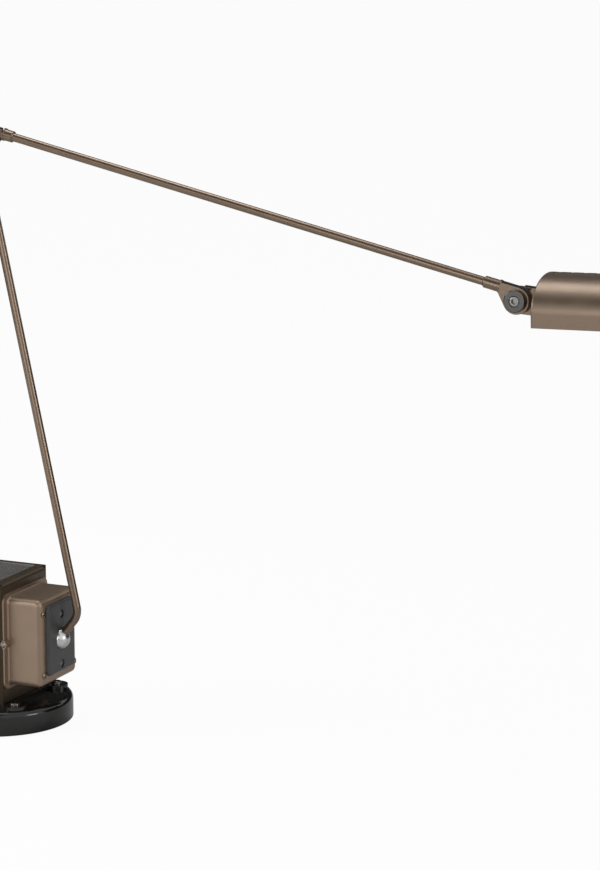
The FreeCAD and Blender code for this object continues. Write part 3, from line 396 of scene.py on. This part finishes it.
rockerGloss = moulded("rockerGloss", (0.015, 0.015, 0.016), 0.22, 0.8, 0.01)
blackRubber = moulded("blackRubber", (0.012, 0.012, 0.012), 0.7, 0.4, 0.06)
reflectorBright = plainMetal("reflectorBright", (0.88, 0.88, 0.87), 0.22, (0.03, 1, 1))
tungsten = plainMetal("tungsten", (0.4, 0.38, 0.36), 0.35)
coreIron = banded("coreIron", (0.09, 0.085, 0.08), 0.5, 0.5, 0)
windingTape = moulded("windingTape", (0.55, 0.32, 0.06), 0.35, 1.5, 0.05)
capsuleGlass = lampGlass("capsuleGlass")

nodeMaterials = {
    "foot_disc": blackEnamel, "foot_pad": blackRubber, "foot_plate": darkSteel,
    "foot_bolts": blackOxide, "body_wrap": bronzeWrapPaintedShade, "front_panel": panelPaintedShade,
    "back_panel": panelPaintedShade, "seam_screws": brightScrew, "top_grille": grilleBlack,
    "right_cover": bronzeCoverPaintedLight, "left_cover": bronzeCoverPaintedLight, "cover_screws": bronzeScrew,
    "cover_posts": zinc, "pivot_plate": plateGrey, "plate_screws": screwBlack,
    "disc_springs": springSteel, "spring_strap": zinc, "transformer_core": coreIron,
    "transformer_winding": windingTape, "transformer_feet": zinc, "terminal_block": ceramicWhite,
    "switch_body": blackPlastic, "cord_inlet": blackRubber, "friction_cup": polymer,
    "pivot_ball": ballSilver, "lower_rod": bronzeArm, "lower_conductor": polymer,
    "lower_elbow_sleeve": bronzeArm, "lower_elbow_plates": bronzeArm,
    "lower_elbow_insulator": insulatorBlack, "upper_rod": bronzeArm, "upper_conductor": polymer,
    "upper_elbow_sleeve": bronzeArm, "upper_elbow_plates": bronzeArm,
    "upper_elbow_insulator": insulatorBlack, "elbow_washers": jointGrey,
    "elbow_friction_disc": polymer, "elbow_screw": screwBlack, "elbow_nut": zinc,
    "wrist_sleeve": bronzeArm, "wrist_plates": bronzeArm, "wrist_insulator": insulatorBlack,
    "head_washers": jointGrey, "head_friction_disc": polymer, "head_screw": screwBlack,
    "head_nut": zinc, "head_bracket_plates": bronzeArm, "head_bracket_insulator": insulatorBlack,
    "shade": bronzeShade, "shade_screws": brightScrew, "lamp_holder": ceramicWhite,
    "bulb": capsuleGlass, "bulb_pins": zinc, "reflector": reflectorBright,
    "terminal_cover": reflectorBright, "rocker": rockerGloss,
}
for name, material in nodeMaterials.items():
    nodes[name].data.materials.clear()
    nodes[name].data.materials.append(material)
print("materials set:", len(nodeMaterials))


# the sheet and turned parts keep their CAD outline; a merged copy gets rolled or broken edges
softEdges = {
    "foot_plate": ("footPlate", 0.5), "body_wrap": ("bodyWrap", 0.25),
    "front_panel": ("frontPanel", 0.3), "back_panel": ("backPanel", 0.3),
    "right_cover": ("rightCover", 0.35), "left_cover": ("leftCover", 0.35),
    "pivot_plate": ("pivotPlate", 0.35), "plate_screws": ("plateScrews", 0.2),
    "cover_screws": ("coverScrews", 0.15), "seam_screws": ("seamScrews", 0.12),
    "lower_elbow_sleeve": ("lowerElbowSleeve", 0.2),
    "lower_elbow_plates": ("lowerElbowPlates", 0.3),
    "lower_elbow_insulator": ("lowerElbowInsulator", 0.15),
    "upper_elbow_sleeve": ("upperElbowSleeve", 0.2),
    "upper_elbow_plates": ("upperElbowPlates", 0.3),
    "upper_elbow_insulator": ("upperElbowInsulator", 0.15), "wrist_sleeve": ("wristSleeve", 0.2),
    "wrist_plates": ("wristPlates", 0.3), "wrist_insulator": ("wristInsulator", 0.15),
    "head_bracket_plates": ("headBracketPlates", 0.3),
    "head_bracket_insulator": ("headBracketInsulator", 0.15),
    "shade_screws": ("shadeScrews", 0.15), "lamp_holder": ("lampHolder", 0.4),
    "switch_body": ("switchBody", 0.3), "rocker": ("rockerKey", 0.5),
    "cord_inlet": ("cordInlet", 0.4), "terminal_cover": ("terminalCover", 0.2),
    "reflector": ("reflectorTrough", 0.25),
}
for nodeName, (pieceName, width) in softEdges.items():
    softened = nodes[nodeName].copy()
    softened.data = nodes[nodeName].data.copy()
    scene.collection.objects.link(softened)
    softened.parent = None
    for key in list(softened.keys()):
        del softened[key]
    workOn(softened)
    bpy.ops.object.mode_set(mode="EDIT")
    bpy.ops.mesh.select_all(action="SELECT")
    bpy.ops.mesh.remove_doubles(threshold=0.002 * mm)
    bpy.ops.mesh.dissolve_limited(angle_limit=math.radians(1))
    done()
    softenEdges(softened, width)
    finishPiece(softened, pieceName, body_of(nodes[nodeName])[0],
                nodeMaterials[nodeName], [nodeName])
print("sheet and turned parts softened:", len(softEdges))


footSettings = {
    "radius": 65, "low": 0.8, "top": 21.7, "rim": 5.5, "lowBreak": 0.6, "padRadius": 57, "padTop": 2.4,
    "padPlay": 0.3, "padBorder": 3, "grooveWidth": 1.5, "grooveGap": 14, "grooveDepth": 0.4, "grooves": 3,
}


def makeFootDisc(s):
    height = s["top"] - s["low"]
    disc = addCylinder(s["radius"], height, point(0, 0, s["low"] + height / 2), sides=180)
    pick(disc, "EDGE", lambda a, b: a.z > s["top"] - 0.01 and b.z > s["top"] - 0.01)
    bevelPicked(s["rim"], 12)
    done()
    pick(disc, "EDGE", lambda a, b: a.z < s["low"] + 0.01 and b.z < s["low"] + 0.01)
    bevelPicked(s["lowBreak"], 3)
    done()
    # recess for the pad
    pick(disc, "FACE", lambda c, n: n.z < -0.99 and c.z < s["low"] + 0.01)
    bpy.ops.mesh.inset(thickness=(s["radius"] - s["lowBreak"] - s["padRadius"] - s["padPlay"]) * mm)
    extrude((0, 0, (s["padTop"] - s["low"]) * mm))
    done()
    smooth(disc, 30)
    return finishPiece(disc, "footDisc", "base", blackEnamel, ["foot_disc"])


def makeFootPad(s):
    pad = addCylinder(s["padRadius"], s["padTop"], point(0, 0, s["padTop"] / 2), sides=120)
    pick(pad, "FACE", lambda c, n: n.z < -0.99)
    for i in range(s["grooves"]):
        # the face goes up into the rubber, and all that lies inside the groove comes back down
        bpy.ops.mesh.inset(thickness=(s["grooveGap"] if i else s["padBorder"]) * mm)
        extrude((0, 0, s["grooveDepth"] * mm))
        bpy.ops.mesh.inset(thickness=s["grooveWidth"] * mm)
        extrude((0, 0, -s["grooveDepth"] * mm))
    done()
    softenEdges(pad, 0.15)
    return finishPiece(pad, "footPad", "base", blackRubber, ["foot_pad"])


makeFootDisc(footSettings)
makeFootPad(footSettings)


def socketHead(radius, height, base, direction, dome, socket, socketDepth, sides=6):
    # round screw head with a rounded rim and a driver socket
    along = Vector(direction)
    head = addCylinder(radius, height, base + along * height * mm / 2, direction)
    pick(head, "EDGE", lambda a, b: (a * mm - base).dot(along) > (height - 0.01) * mm
         and (b * mm - base).dot(along) > (height - 0.01) * mm)
    bevelPicked(dome, 6)
    done()
    cutter = addCylinder(socket, socketDepth * 2, base + along * height * mm, direction, sides)
    cutAway(head, cutter)
    softenEdges(head, 0.12, 2, 40)
    return head


boltSettings = {
    "radius": 4.6, "height": 2.9, "dome": 1.8, "socket": 1.95, "depth": 2, "x": 37.5, "y": 37, "seat": 24.2,
}


def makeFootBolts(s):
    place = point(s["x"], -s["y"], s["seat"])
    first = socketHead(s["radius"], s["height"], place, (0, 0, 1), s["dome"], s["socket"], s["depth"])
    across, back = -2 * s["x"], 2 * s["y"]
    for i, (dx, dy) in enumerate(((0, 0), (across, 0), (0, back), (across, back))):
        bolt = copyOf(first, Matrix.Translation(point(dx, dy, 0)))
        replaced = ["foot_bolts"] if i == 0 else []
        finishPiece(bolt, "footBolt" + str(i + 1), "base", blackOxide, replaced)
    bpy.data.objects.remove(first)


makeFootBolts(boltSettings)
print("foot modelled")


rodSettings = {
    "radius": 3.5, "neckStart": 4.3, "neckRun": 29.3, "hook": 15, "hookSteps": 40, "lowerRun": 414,
    "upperRun": 488.8, "endShort": 18, "endBreak": 0.4,
}


def makeLowerRod(s):
    neck, up = heading(lamp["neckAngle"]), heading(90 + lamp["lowerLean"])
    turn = 90 + lamp["lowerLean"] - lamp["neckAngle"]
    tangent = s["hook"] * math.tan(math.radians(turn / 2))
    start = ballCentre + neck * s["neckStart"] * mm
    bendIn = ballCentre + neck * (s["neckRun"] - tangent) * mm
    hookCentre = bendIn + heading(lamp["neckAngle"] + 90) * s["hook"] * mm
    tube = addRing(s["radius"], start, neck)
    pick(tube, "EDGE", lambda a, b: True)
    extrude(bendIn - start)
    bpy.ops.mesh.spin(steps=s["hookSteps"], angle=math.radians(turn), center=hookCentre, axis=(0, 1, 0))
    extrude(up * (s["lowerRun"] - tangent - s["endShort"]) * mm)
    bpy.ops.mesh.edge_face_add()
    done()
    # the end in the ball is closed too
    pick(tube, "EDGE", lambda a, b: max((c * mm - start).dot(neck) for c in (a, b)) < 0.01 * mm
         and (a * mm - start).length < 2 * s["radius"] * mm)
    bpy.ops.mesh.edge_face_add()
    done()
    cleanNormals(tube)
    smooth(tube)
    return finishPiece(tube, "lowerTube", "lower_arm", bronzeArm, ["lower_rod"])


def makeUpperRod(s):
    along, across = heading(-lamp["upperDroop"]), heading(90 - lamp["upperDroop"])
    foot = elbowPivot + across * lamp["pivotOffset"] * mm
    start = foot + along * s["endShort"] * mm
    endBreak = s["endBreak"]
    tube = addRing(s["radius"] - endBreak, start, along)
    pick(tube, "EDGE", lambda a, b: True)
    bpy.ops.mesh.edge_face_add()
    grow = s["radius"] / (s["radius"] - endBreak)
    extrude(along * endBreak * mm)
    bpy.ops.transform.resize(value=(grow, grow, grow))
    extrude(along * (s["upperRun"] - 2 * s["endShort"] - 2 * endBreak) * mm)
    extrude(along * endBreak * mm)
    bpy.ops.transform.resize(value=(1 / grow, 1 / grow, 1 / grow))
    done()
    cleanNormals(tube)
    smooth(tube)
    return finishPiece(tube, "upperTube", "upper_arm", bronzeArm, ["upper_rod"])


makeLowerRod(rodSettings)
makeUpperRod(rodSettings)
print("arm tubes modelled")


ballSettings = {"radius": 9.5, "mouthAngle": 22.5, "bore": 5}


def makeBall(s):
    neck = heading(lamp["neckAngle"])
    deselectAll()
    turn = neck.to_track_quat("Z", "Y").to_euler()
    bpy.ops.mesh.primitive_uv_sphere_add(segments=64, ring_count=32, radius=s["radius"] * mm,
                                         location=ballCentre, rotation=turn)
    bpy.ops.object.transform_apply(location=True, rotation=True, scale=True)
    ball = bpy.context.object
    limit = math.cos(math.radians(s["mouthAngle"]))
    pick(ball, "FACE", lambda c, n: n.dot(neck) > limit)
    bpy.ops.mesh.dissolve_faces()
    extrude(neck * -s["bore"] * mm)
    done()
    smooth(ball)
    return finishPiece(ball, "pivotBall", "ball", ballSilver, ["pivot_ball"])


makeBall(ballSettings)


jointSettings = {
    "lugFace": 5.4, "discGap": 0.2, "washer": 9, "thickness": 4, "rim": 0.9, "pocket": 4.4,
    "pocketDepth": 3.2, "screwHead": 4.25, "headDome": 0.9, "socket": 2.45, "socketDepth": 2.4,
    "nutFlats": 8, "nutHeight": 3, "nutPlay": 0.2, "screwRadius": 2.5, "screwPlay": 0.05,
}


# turns a hexagon about the elbow's axis so that its corners point along X
hexTurn = (Matrix.Translation(elbowPivot) @ Matrix.Rotation(math.radians(30), 4, "Y")
           @ Matrix.Translation(-elbowPivot))


def makeWasher(s, side, pocket, sides, depth):
    # thick pressure washer about the elbow pivot, its recess facing out
    inner = s["lugFace"] + (s["discGap"] if side > 0 else 0)
    outer = inner + s["thickness"]
    middle = elbowPivot + point(0, side * (inner + outer) / 2, 0)
    washer = addCylinder(s["washer"], s["thickness"], middle, (0, side, 0), 72)
    rim = outer - 0.01
    pick(washer, "EDGE", lambda a, b: a.y * side > rim and b.y * side > rim)
    bevelPicked(s["rim"], 5)
    done()
    cutter = addCylinder(pocket, depth * 2, elbowPivot + point(0, side * outer, 0), (0, side, 0), sides)
    cutter.data.transform(hexTurn)
    cutAway(washer, cutter)
    softenEdges(washer, 0.15, 2, 40)
    return washer


def makeJointHardware(s):
    face = elbowPivot + point(0, -(s["lugFace"] + s["thickness"]), 0)
    nutFace = s["lugFace"] + s["discGap"] + s["thickness"]
    screwWasher = makeWasher(s, -1, s["pocket"], 48, s["pocketDepth"])
    nutWasher = makeWasher(s, 1, (s["nutFlats"] + s["nutPlay"]) / math.sqrt(3), 6, s["nutHeight"])
    pocketFloor = face + point(0, s["pocketDepth"], 0)
    screwHead = socketHead(s["screwHead"], s["pocketDepth"], pocketFloor, (0, -1, 0),
                           s["headDome"], s["socket"], s["socketDepth"])
    nutMiddle = elbowPivot + point(0, nutFace - s["nutHeight"] / 2, 0)
    nut = addCylinder(s["nutFlats"] / math.sqrt(3), s["nutHeight"], nutMiddle, (0, 1, 0), 6)
    nut.data.transform(hexTurn)
    cutAway(nut, addCylinder(s["screwRadius"], s["nutHeight"] * 2, nutMiddle, (0, 1, 0), 32))
    softenEdges(nut, 0.35, 2, 40)
    shank = addCylinder(s["screwRadius"] - s["screwPlay"], s["nutHeight"], nutMiddle, (0, 1, 0), 32)
    softenEdges(shank, 0.3, 3, 40)
    parts = (
        (screwWasher, "ScrewWasher", "joint_steel", jointGrey, "washers"),
        (nutWasher, "NutWasher", "joint_steel", jointGrey, ""),
        (screwHead, "CapScrew", "bright_screws", screwBlack, "screw"),
        (nut, "LockNut", "zinc_steel", zinc, "nut"),
        (shank, "ScrewEnd", "bright_screws", zinc, ""),
    )
    for joint, pivot in (("elbow", elbowPivot), ("head", headPivot)):
        for piece, word, slotName, material, nodeWord in parts:
            twin = copyOf(piece, Matrix.Translation(pivot - elbowPivot))
            replaced = [joint + "_" + nodeWord] if nodeWord else []
            finishPiece(twin, joint + word, "upper_arm", material, replaced)
    for piece, *_ in parts:
        bpy.data.objects.remove(piece)


makeJointHardware(jointSettings)
print("ball, washers, screws and nuts modelled")


shadeSettings = {
    "start": 24.2, "length": 118, "halfWidth": 39, "wall": 11, "crown": 27.6, "bottom": -15.5, "sheet": 1.2,
    "endRadius": 1.8, "slots": 10, "slotFirst": 8, "slotPitch": 10.5, "slotWidth": 4.2, "slotNear": 2.5,
    "slotLength": 20, "slotCutter": 12, "slotCutterDown": 2, "bracketSlope": -5.4, "bracketHalf": 10.9,
    "bracketNear": 0.6, "bracketFar": 5.4, "bracketPlay": 0.15, "bracketCutter": 6,
}


def addArchBlock(s, inset):
    # closed block with an arched top; inset makes it smaller all round but open below
    springLine = s["bottom"] + s["wall"]
    halfWidth, crown = s["halfWidth"] - inset, s["crown"] - inset
    start, length = s["start"] + inset, s["length"] - 2 * inset
    bottom = s["bottom"] - 2 * inset
    block = addRing(halfWidth, (0, 0, 0), (1, 0, 0), 120)
    workOn(block)
    bpy.ops.object.mode_set(mode="EDIT")
    bpy.ops.mesh.select_all(action="SELECT")
    bpy.ops.transform.resize(value=(1, 1, crown / halfWidth), center_override=(0, 0, 0))
    bpy.ops.mesh.bisect(plane_co=(0, 0, 0), plane_no=(0, 0, 1), clear_inner=True)
    bpy.ops.mesh.select_all(action="SELECT")
    bpy.ops.transform.translate(value=point(start, 0, springLine))
    done()
    # the side walls go down from the arch's two ends
    workOn(block)
    block.data.edges.foreach_set("select", [False] * len(block.data.edges))
    for vertex in block.data.vertices:
        vertex.select = vertex.co.z < (springLine + 0.01) * mm
    bpy.context.tool_settings.mesh_select_mode = (True, False, False)
    bpy.ops.object.mode_set(mode="EDIT")
    down = (0, 0, (bottom - springLine) * mm)
    bpy.ops.mesh.extrude_vertices_move(TRANSFORM_OT_translate={"value": down})
    bpy.ops.mesh.select_all(action="SELECT")
    bpy.ops.mesh.edge_face_add()
    bpy.ops.mesh.select_all(action="SELECT")
    extrude((length * mm, 0, 0))
    done()
    cleanNormals(block)
    pick(block, "EDGE", lambda a, b: abs(a.x - b.x) < 0.01 and max(a.z, b.z) > bottom + 0.01)
    bevelPicked(s["endRadius"] - inset, 6)
    done()
    return block


def makeShade(s):
    shade = addArchBlock(s, 0)
    cutAway(shade, addArchBlock(s, s["sheet"]))
    # vent slots behind the crown line
    top = s["bottom"] + s["wall"] + s["crown"]
    place = point(s["start"] + s["slotFirst"], s["slotNear"] + s["slotLength"] / 2, top - s["slotCutterDown"])
    cutter = addCube((s["slotWidth"], s["slotLength"], s["slotCutter"]), place)
    pick(cutter, "EDGE", lambda a, b: abs(a.z - b.z) > s["slotCutter"] / 2)
    bevelPicked(s["slotWidth"] / 2 - 0.05, 8)
    done()
    modify(cutter, "ARRAY", count=s["slots"], use_relative_offset=False, use_constant_offset=True,
           constant_offset_displace=(s["slotPitch"] * mm, 0, 0))
    cutAway(shade, cutter)
    # slot for the bracket in the end wall
    slope = math.radians(s["bracketSlope"])
    gap = (s["bracketNear"] + s["bracketFar"]) / 2
    play = 2 * s["bracketPlay"]
    cutter = addCube((s["bracketCutter"], s["bracketFar"] - s["bracketNear"] + play,
                      2 * s["bracketHalf"] + play), (0, 0, 0))
    cutter.data.transform(Matrix.Translation(point(s["start"], gap, s["start"] * math.tan(slope)))
                          @ Matrix.Rotation(-slope, 4, "Y"))
    cutAway(shade, cutter)
    softenEdges(shade, 0.2, 2, 40)
    shade.data.transform(headTurn)
    return finishPiece(shade, "archedShade", "head", bronzeShade, ["shade"])


makeShade(shadeSettings)
print("shade modelled")


grilleSettings = {
    "halfX": 19.65, "halfY": 36.75, "top": 129.1, "sheet": 0.5, "pitch": 1.7, "web": 0.28, "spare": 4,
    "lap": 0.4, "rim": 1.4, "edging": 1.2,
}


def makeGrille(s):
    # pressed diagonal mesh: a turned grid whose cells are inset one by one and opened
    side = (s["halfX"] + s["halfY"]) * 2 / math.sqrt(2) + s["spare"]
    cells = int(side / s["pitch"])
    deselectAll()
    bpy.ops.mesh.primitive_grid_add(x_subdivisions=cells, y_subdivisions=cells,
                                    size=cells * s["pitch"] * mm, location=point(0, 0, s["top"] - s["sheet"]),
                                    rotation=(0, 0, math.radians(45)))
    bpy.ops.object.transform_apply(location=True, rotation=True, scale=True)
    mesh = bpy.context.object
    pick(mesh, "FACE", lambda c, n: True)
    bpy.ops.mesh.inset(thickness=s["web"] * mm, use_individual=True)
    bpy.ops.mesh.delete(type="FACE")
    halfX, halfY = s["halfX"] - s["lap"], s["halfY"] - s["lap"]
    for place, normal in (((halfX, 0, 0), (1, 0, 0)), ((-halfX, 0, 0), (-1, 0, 0)),
                          ((0, halfY, 0), (0, 1, 0)), ((0, -halfY, 0), (0, -1, 0))):
        bpy.ops.mesh.select_all(action="SELECT")
        bpy.ops.mesh.bisect(plane_co=point(*place), plane_no=normal, clear_outer=True)
    done()
    modify(mesh, "SOLIDIFY", thickness=s["sheet"] * mm, offset=-1)
    finishPiece(mesh, "grilleMesh", "base", grilleBlack, ["top_grille"])
    edging = addCube((2 * s["halfX"], 2 * s["halfY"], s["edging"]), point(0, 0, s["top"] - s["edging"] / 2))
    openX, openY = 2 * (s["halfX"] - s["rim"]), 2 * (s["halfY"] - s["rim"])
    cutAway(edging, addCube((openX, openY, 4 * s["edging"]), point(0, 0, s["top"])))
    softenEdges(edging, 0.25)
    finishPiece(edging, "grilleEdging", "base", grilleBlack)


makeGrille(grilleSettings)
print("grille modelled")


bulbSettings = {
    "root": 43.6, "radius": 6, "bodyStart": 11, "length": 34, "wall": 0.8, "shoulder": 2.2,
    "pinch": (1, 0.78, 0.32), "turns": 11, "coilRadius": 0.9, "wire": 0.16, "coilStart": 60, "coilLength": 9,
}


def makeBulb(s):
    # capsule: domed tip, round body, flat pinched root
    tip = s["root"] + s["length"]
    deselectAll()
    bpy.ops.mesh.primitive_uv_sphere_add(segments=48, ring_count=24, radius=s["radius"] * mm,
                                         location=point(tip - s["radius"], 0, 0),
                                         rotation=(0, math.radians(90), 0))
    bpy.ops.object.transform_apply(location=True, rotation=True, scale=True)
    capsule = bpy.context.object
    back = tip - s["radius"]
    pick(capsule, "FACE", lambda c, n: c.x < back - 0.01)
    bpy.ops.mesh.delete(type="FACE")
    done()
    pick(capsule, "EDGE", lambda a, b: a.x < back + 0.01 and b.x < back + 0.01)
    extrude(point(s["root"] + s["bodyStart"] - back, 0, 0))
    extrude(point(-s["shoulder"], 0, 0))
    bpy.ops.transform.resize(value=s["pinch"])
    extrude(point(s["shoulder"] - s["bodyStart"], 0, 0))
    bpy.ops.mesh.edge_face_add()
    done()
    cleanNormals(capsule)
    modify(capsule, "SOLIDIFY", thickness=s["wall"] * mm, offset=-1)
    smooth(capsule, 50)
    capsule.data.transform(headTurn)
    return finishPiece(capsule, "halogenCapsule", "head", capsuleGlass, ["bulb"])


def makeFilament(s):
    # the wire's ring is wound about Z at the origin, then laid along the capsule
    coil = addRing(s["wire"], point(0, 0, s["coilRadius"]), (0, 1, 0), 8)
    coil.data.transform(Matrix.Rotation(math.radians(90), 4, "Y"))
    modify(coil, "SCREW", axis="Z", steps=16, render_steps=16, iterations=s["turns"],
           screw_offset=s["coilLength"] / s["turns"] * mm, angle=math.radians(360))
    # both ends of the wire are closed
    workOn(coil)
    bpy.ops.object.mode_set(mode="EDIT")
    bpy.ops.mesh.select_all(action="SELECT")
    bpy.ops.mesh.region_to_loop()
    bpy.ops.mesh.edge_face_add()
    done()
    cleanNormals(coil)
    coil.data.transform(headTurn @ Matrix.Translation(point(s["coilStart"], 0, 0))
                        @ Matrix.Rotation(math.radians(90), 4, "Y"))
    smooth(coil, 60)
    return finishPiece(coil, "bulbFilament", "head", tungsten)


makeBulb(bulbSettings)
makeFilament(bulbSettings)
print("bulb modelled")


floorSettings = {"size": 60, "height": -0.0005, "colour": (0.9, 0.9, 0.9), "whiteShare": 0.95}
deselectAll()
bpy.ops.mesh.primitive_plane_add(size=floorSettings["size"], location=(0, 0, floorSettings["height"]))
studioFloor = bpy.context.object
studioFloor.name = "studioFloor"
floorMaterial, floorTree, floorShader = newMaterial("floorWhite")
floorShader.inputs["Base Color"].default_value = (*floorSettings["colour"], 1)
floorShader.inputs["Roughness"].default_value = 0.7
floorPath = floorTree.nodes.new("ShaderNodeLightPath")
floorGlow = floorTree.nodes.new("ShaderNodeEmission")
floorGlow.inputs["Strength"].default_value = 1
floorMix = floorTree.nodes.new("ShaderNodeMixShader")
whiteShare = spread(floorTree, floorPath.outputs["Is Camera Ray"], 0, 1, 0, floorSettings["whiteShare"])
floorTree.links.new(whiteShare, floorMix.inputs["Fac"])
floorTree.links.new(floorShader.outputs["BSDF"], floorMix.inputs[1])
floorTree.links.new(floorGlow.outputs["Emission"], floorMix.inputs[2])
floorTree.links.new(floorMix.outputs["Shader"], floorTree.nodes["Material Output"].inputs["Surface"])
studioFloor.data.materials.append(floorMaterial)

world = bpy.data.worlds.new("studioWorld")
scene.world = world
world.use_nodes = True
worldTree = world.node_tree
background = worldTree.nodes["Background"]
background.inputs["Color"].default_value = (1, 1, 1, 1)
pathInfo = worldTree.nodes.new("ShaderNodeLightPath")
seen = pathInfo.outputs["Is Camera Ray"]
for ray in ("Is Glossy Ray", "Is Transmission Ray"):
    either = worldTree.nodes.new("ShaderNodeMath")
    either.operation = "MAXIMUM"
    worldTree.links.new(seen, either.inputs[0])
    worldTree.links.new(pathInfo.outputs[ray], either.inputs[1])
    seen = either.outputs[0]
worldLight = {"onSurfaces": 0.25, "seen": 1}
strength = spread(worldTree, seen, 0, 1, worldLight["onSurfaces"], worldLight["seen"])
worldTree.links.new(strength, background.inputs["Strength"])

lampSettings = {
    "keyLamp": {"place": (-1.9, -1.2, 1.2), "aim": (0.2, 0, 0.25), "size": 1.1, "power": 40},
    "frontLamp": {"place": (0.2, -2.2, 0.5), "aim": (0.25, 0, 0.2), "size": 1.2, "power": 10},
    "sideLamp": {"place": (2.25, -0.3, 0.6), "aim": (0.1, 0, 0.25), "size": 0.6, "power": 7},
    "topLamp": {"place": (-0.26, 0.43, 2.2), "aim": (0.45, 0, 0.4), "size": 0.85, "power": 10},
}
for name, settings in lampSettings.items():
    bpy.ops.object.light_add(type="AREA", location=settings["place"])
    light = bpy.context.object
    light.name = name
    light.data.size = settings["size"]
    light.data.energy = settings["power"]
    view = Vector(settings["aim"]) - light.location
    light.rotation_euler = view.to_track_quat("-Z", "Y").to_euler()

# black cards that only reflections see: an arc behind, one low and one high behind, two in front
cardSettings = {
    "centre": 0.25, "distance": 1.5, "sink": 0.05, "width": 1.1, "aim": (0.25, 0, 0.35),
    "colour": (0.02, 0.02, 0.02),
    "arc": ((35, 1.0), (75, 0.45), (115, 1.0), (155, 1.0), (195, 1.0)),
    "others": (((0.25, 0.7, 0.1), (2.4, 0.5)), ((-0.1, 1.0, 1.3), (2.4, 0.9)),
               ((-0.06, -0.81, 1.5), (1.6, 0.8)), ((0.45, -1.0, 0.1), (0.4, 0.3))),
}
cardSpots = []
for angle, height in cardSettings["arc"]:
    out = heading(angle) * cardSettings["distance"]
    middle = (cardSettings["centre"] + out.x, out.z, height / 2 - cardSettings["sink"])
    cardSpots.append((middle, (cardSettings["width"], height)))
cardSpots += cardSettings["others"]
cardMaterial, _, cardShader = newMaterial("cardBlack")
cardShader.inputs["Base Color"].default_value = (*cardSettings["colour"], 1)
cardShader.inputs["Roughness"].default_value = 1
for i, (place, sizes) in enumerate(cardSpots):
    deselectAll()
    turn = (Vector(cardSettings["aim"]) - Vector(place)).to_track_quat("Z", "Y").to_euler()
    bpy.ops.mesh.primitive_plane_add(size=1, location=place, rotation=turn)
    card = bpy.context.object
    card.name = "blackCard" + str(i + 1)
    card.scale = (*sizes, 1)
    card.data.materials.append(cardMaterial)
    card.visible_camera = False
    card.visible_diffuse = False
    card.visible_shadow = False
    card.visible_transmission = False

cameraSettings = {"place": (1.3002, -2.2329, 0.7636), "aim": (0.28824, 0, 0.27376), "lens": 126.74}
bpy.ops.object.camera_add(location=cameraSettings["place"])
camera = bpy.context.object
view = Vector(cameraSettings["aim"]) - camera.location
camera.rotation_euler = view.to_track_quat("-Z", "Y").to_euler()
camera.data.lens = cameraSettings["lens"]
camera.data.sensor_width = 36
camera.data.clip_end = 50
scene.camera = camera
scene.view_settings.view_transform = "Standard"
print("stage, lamps and camera set")
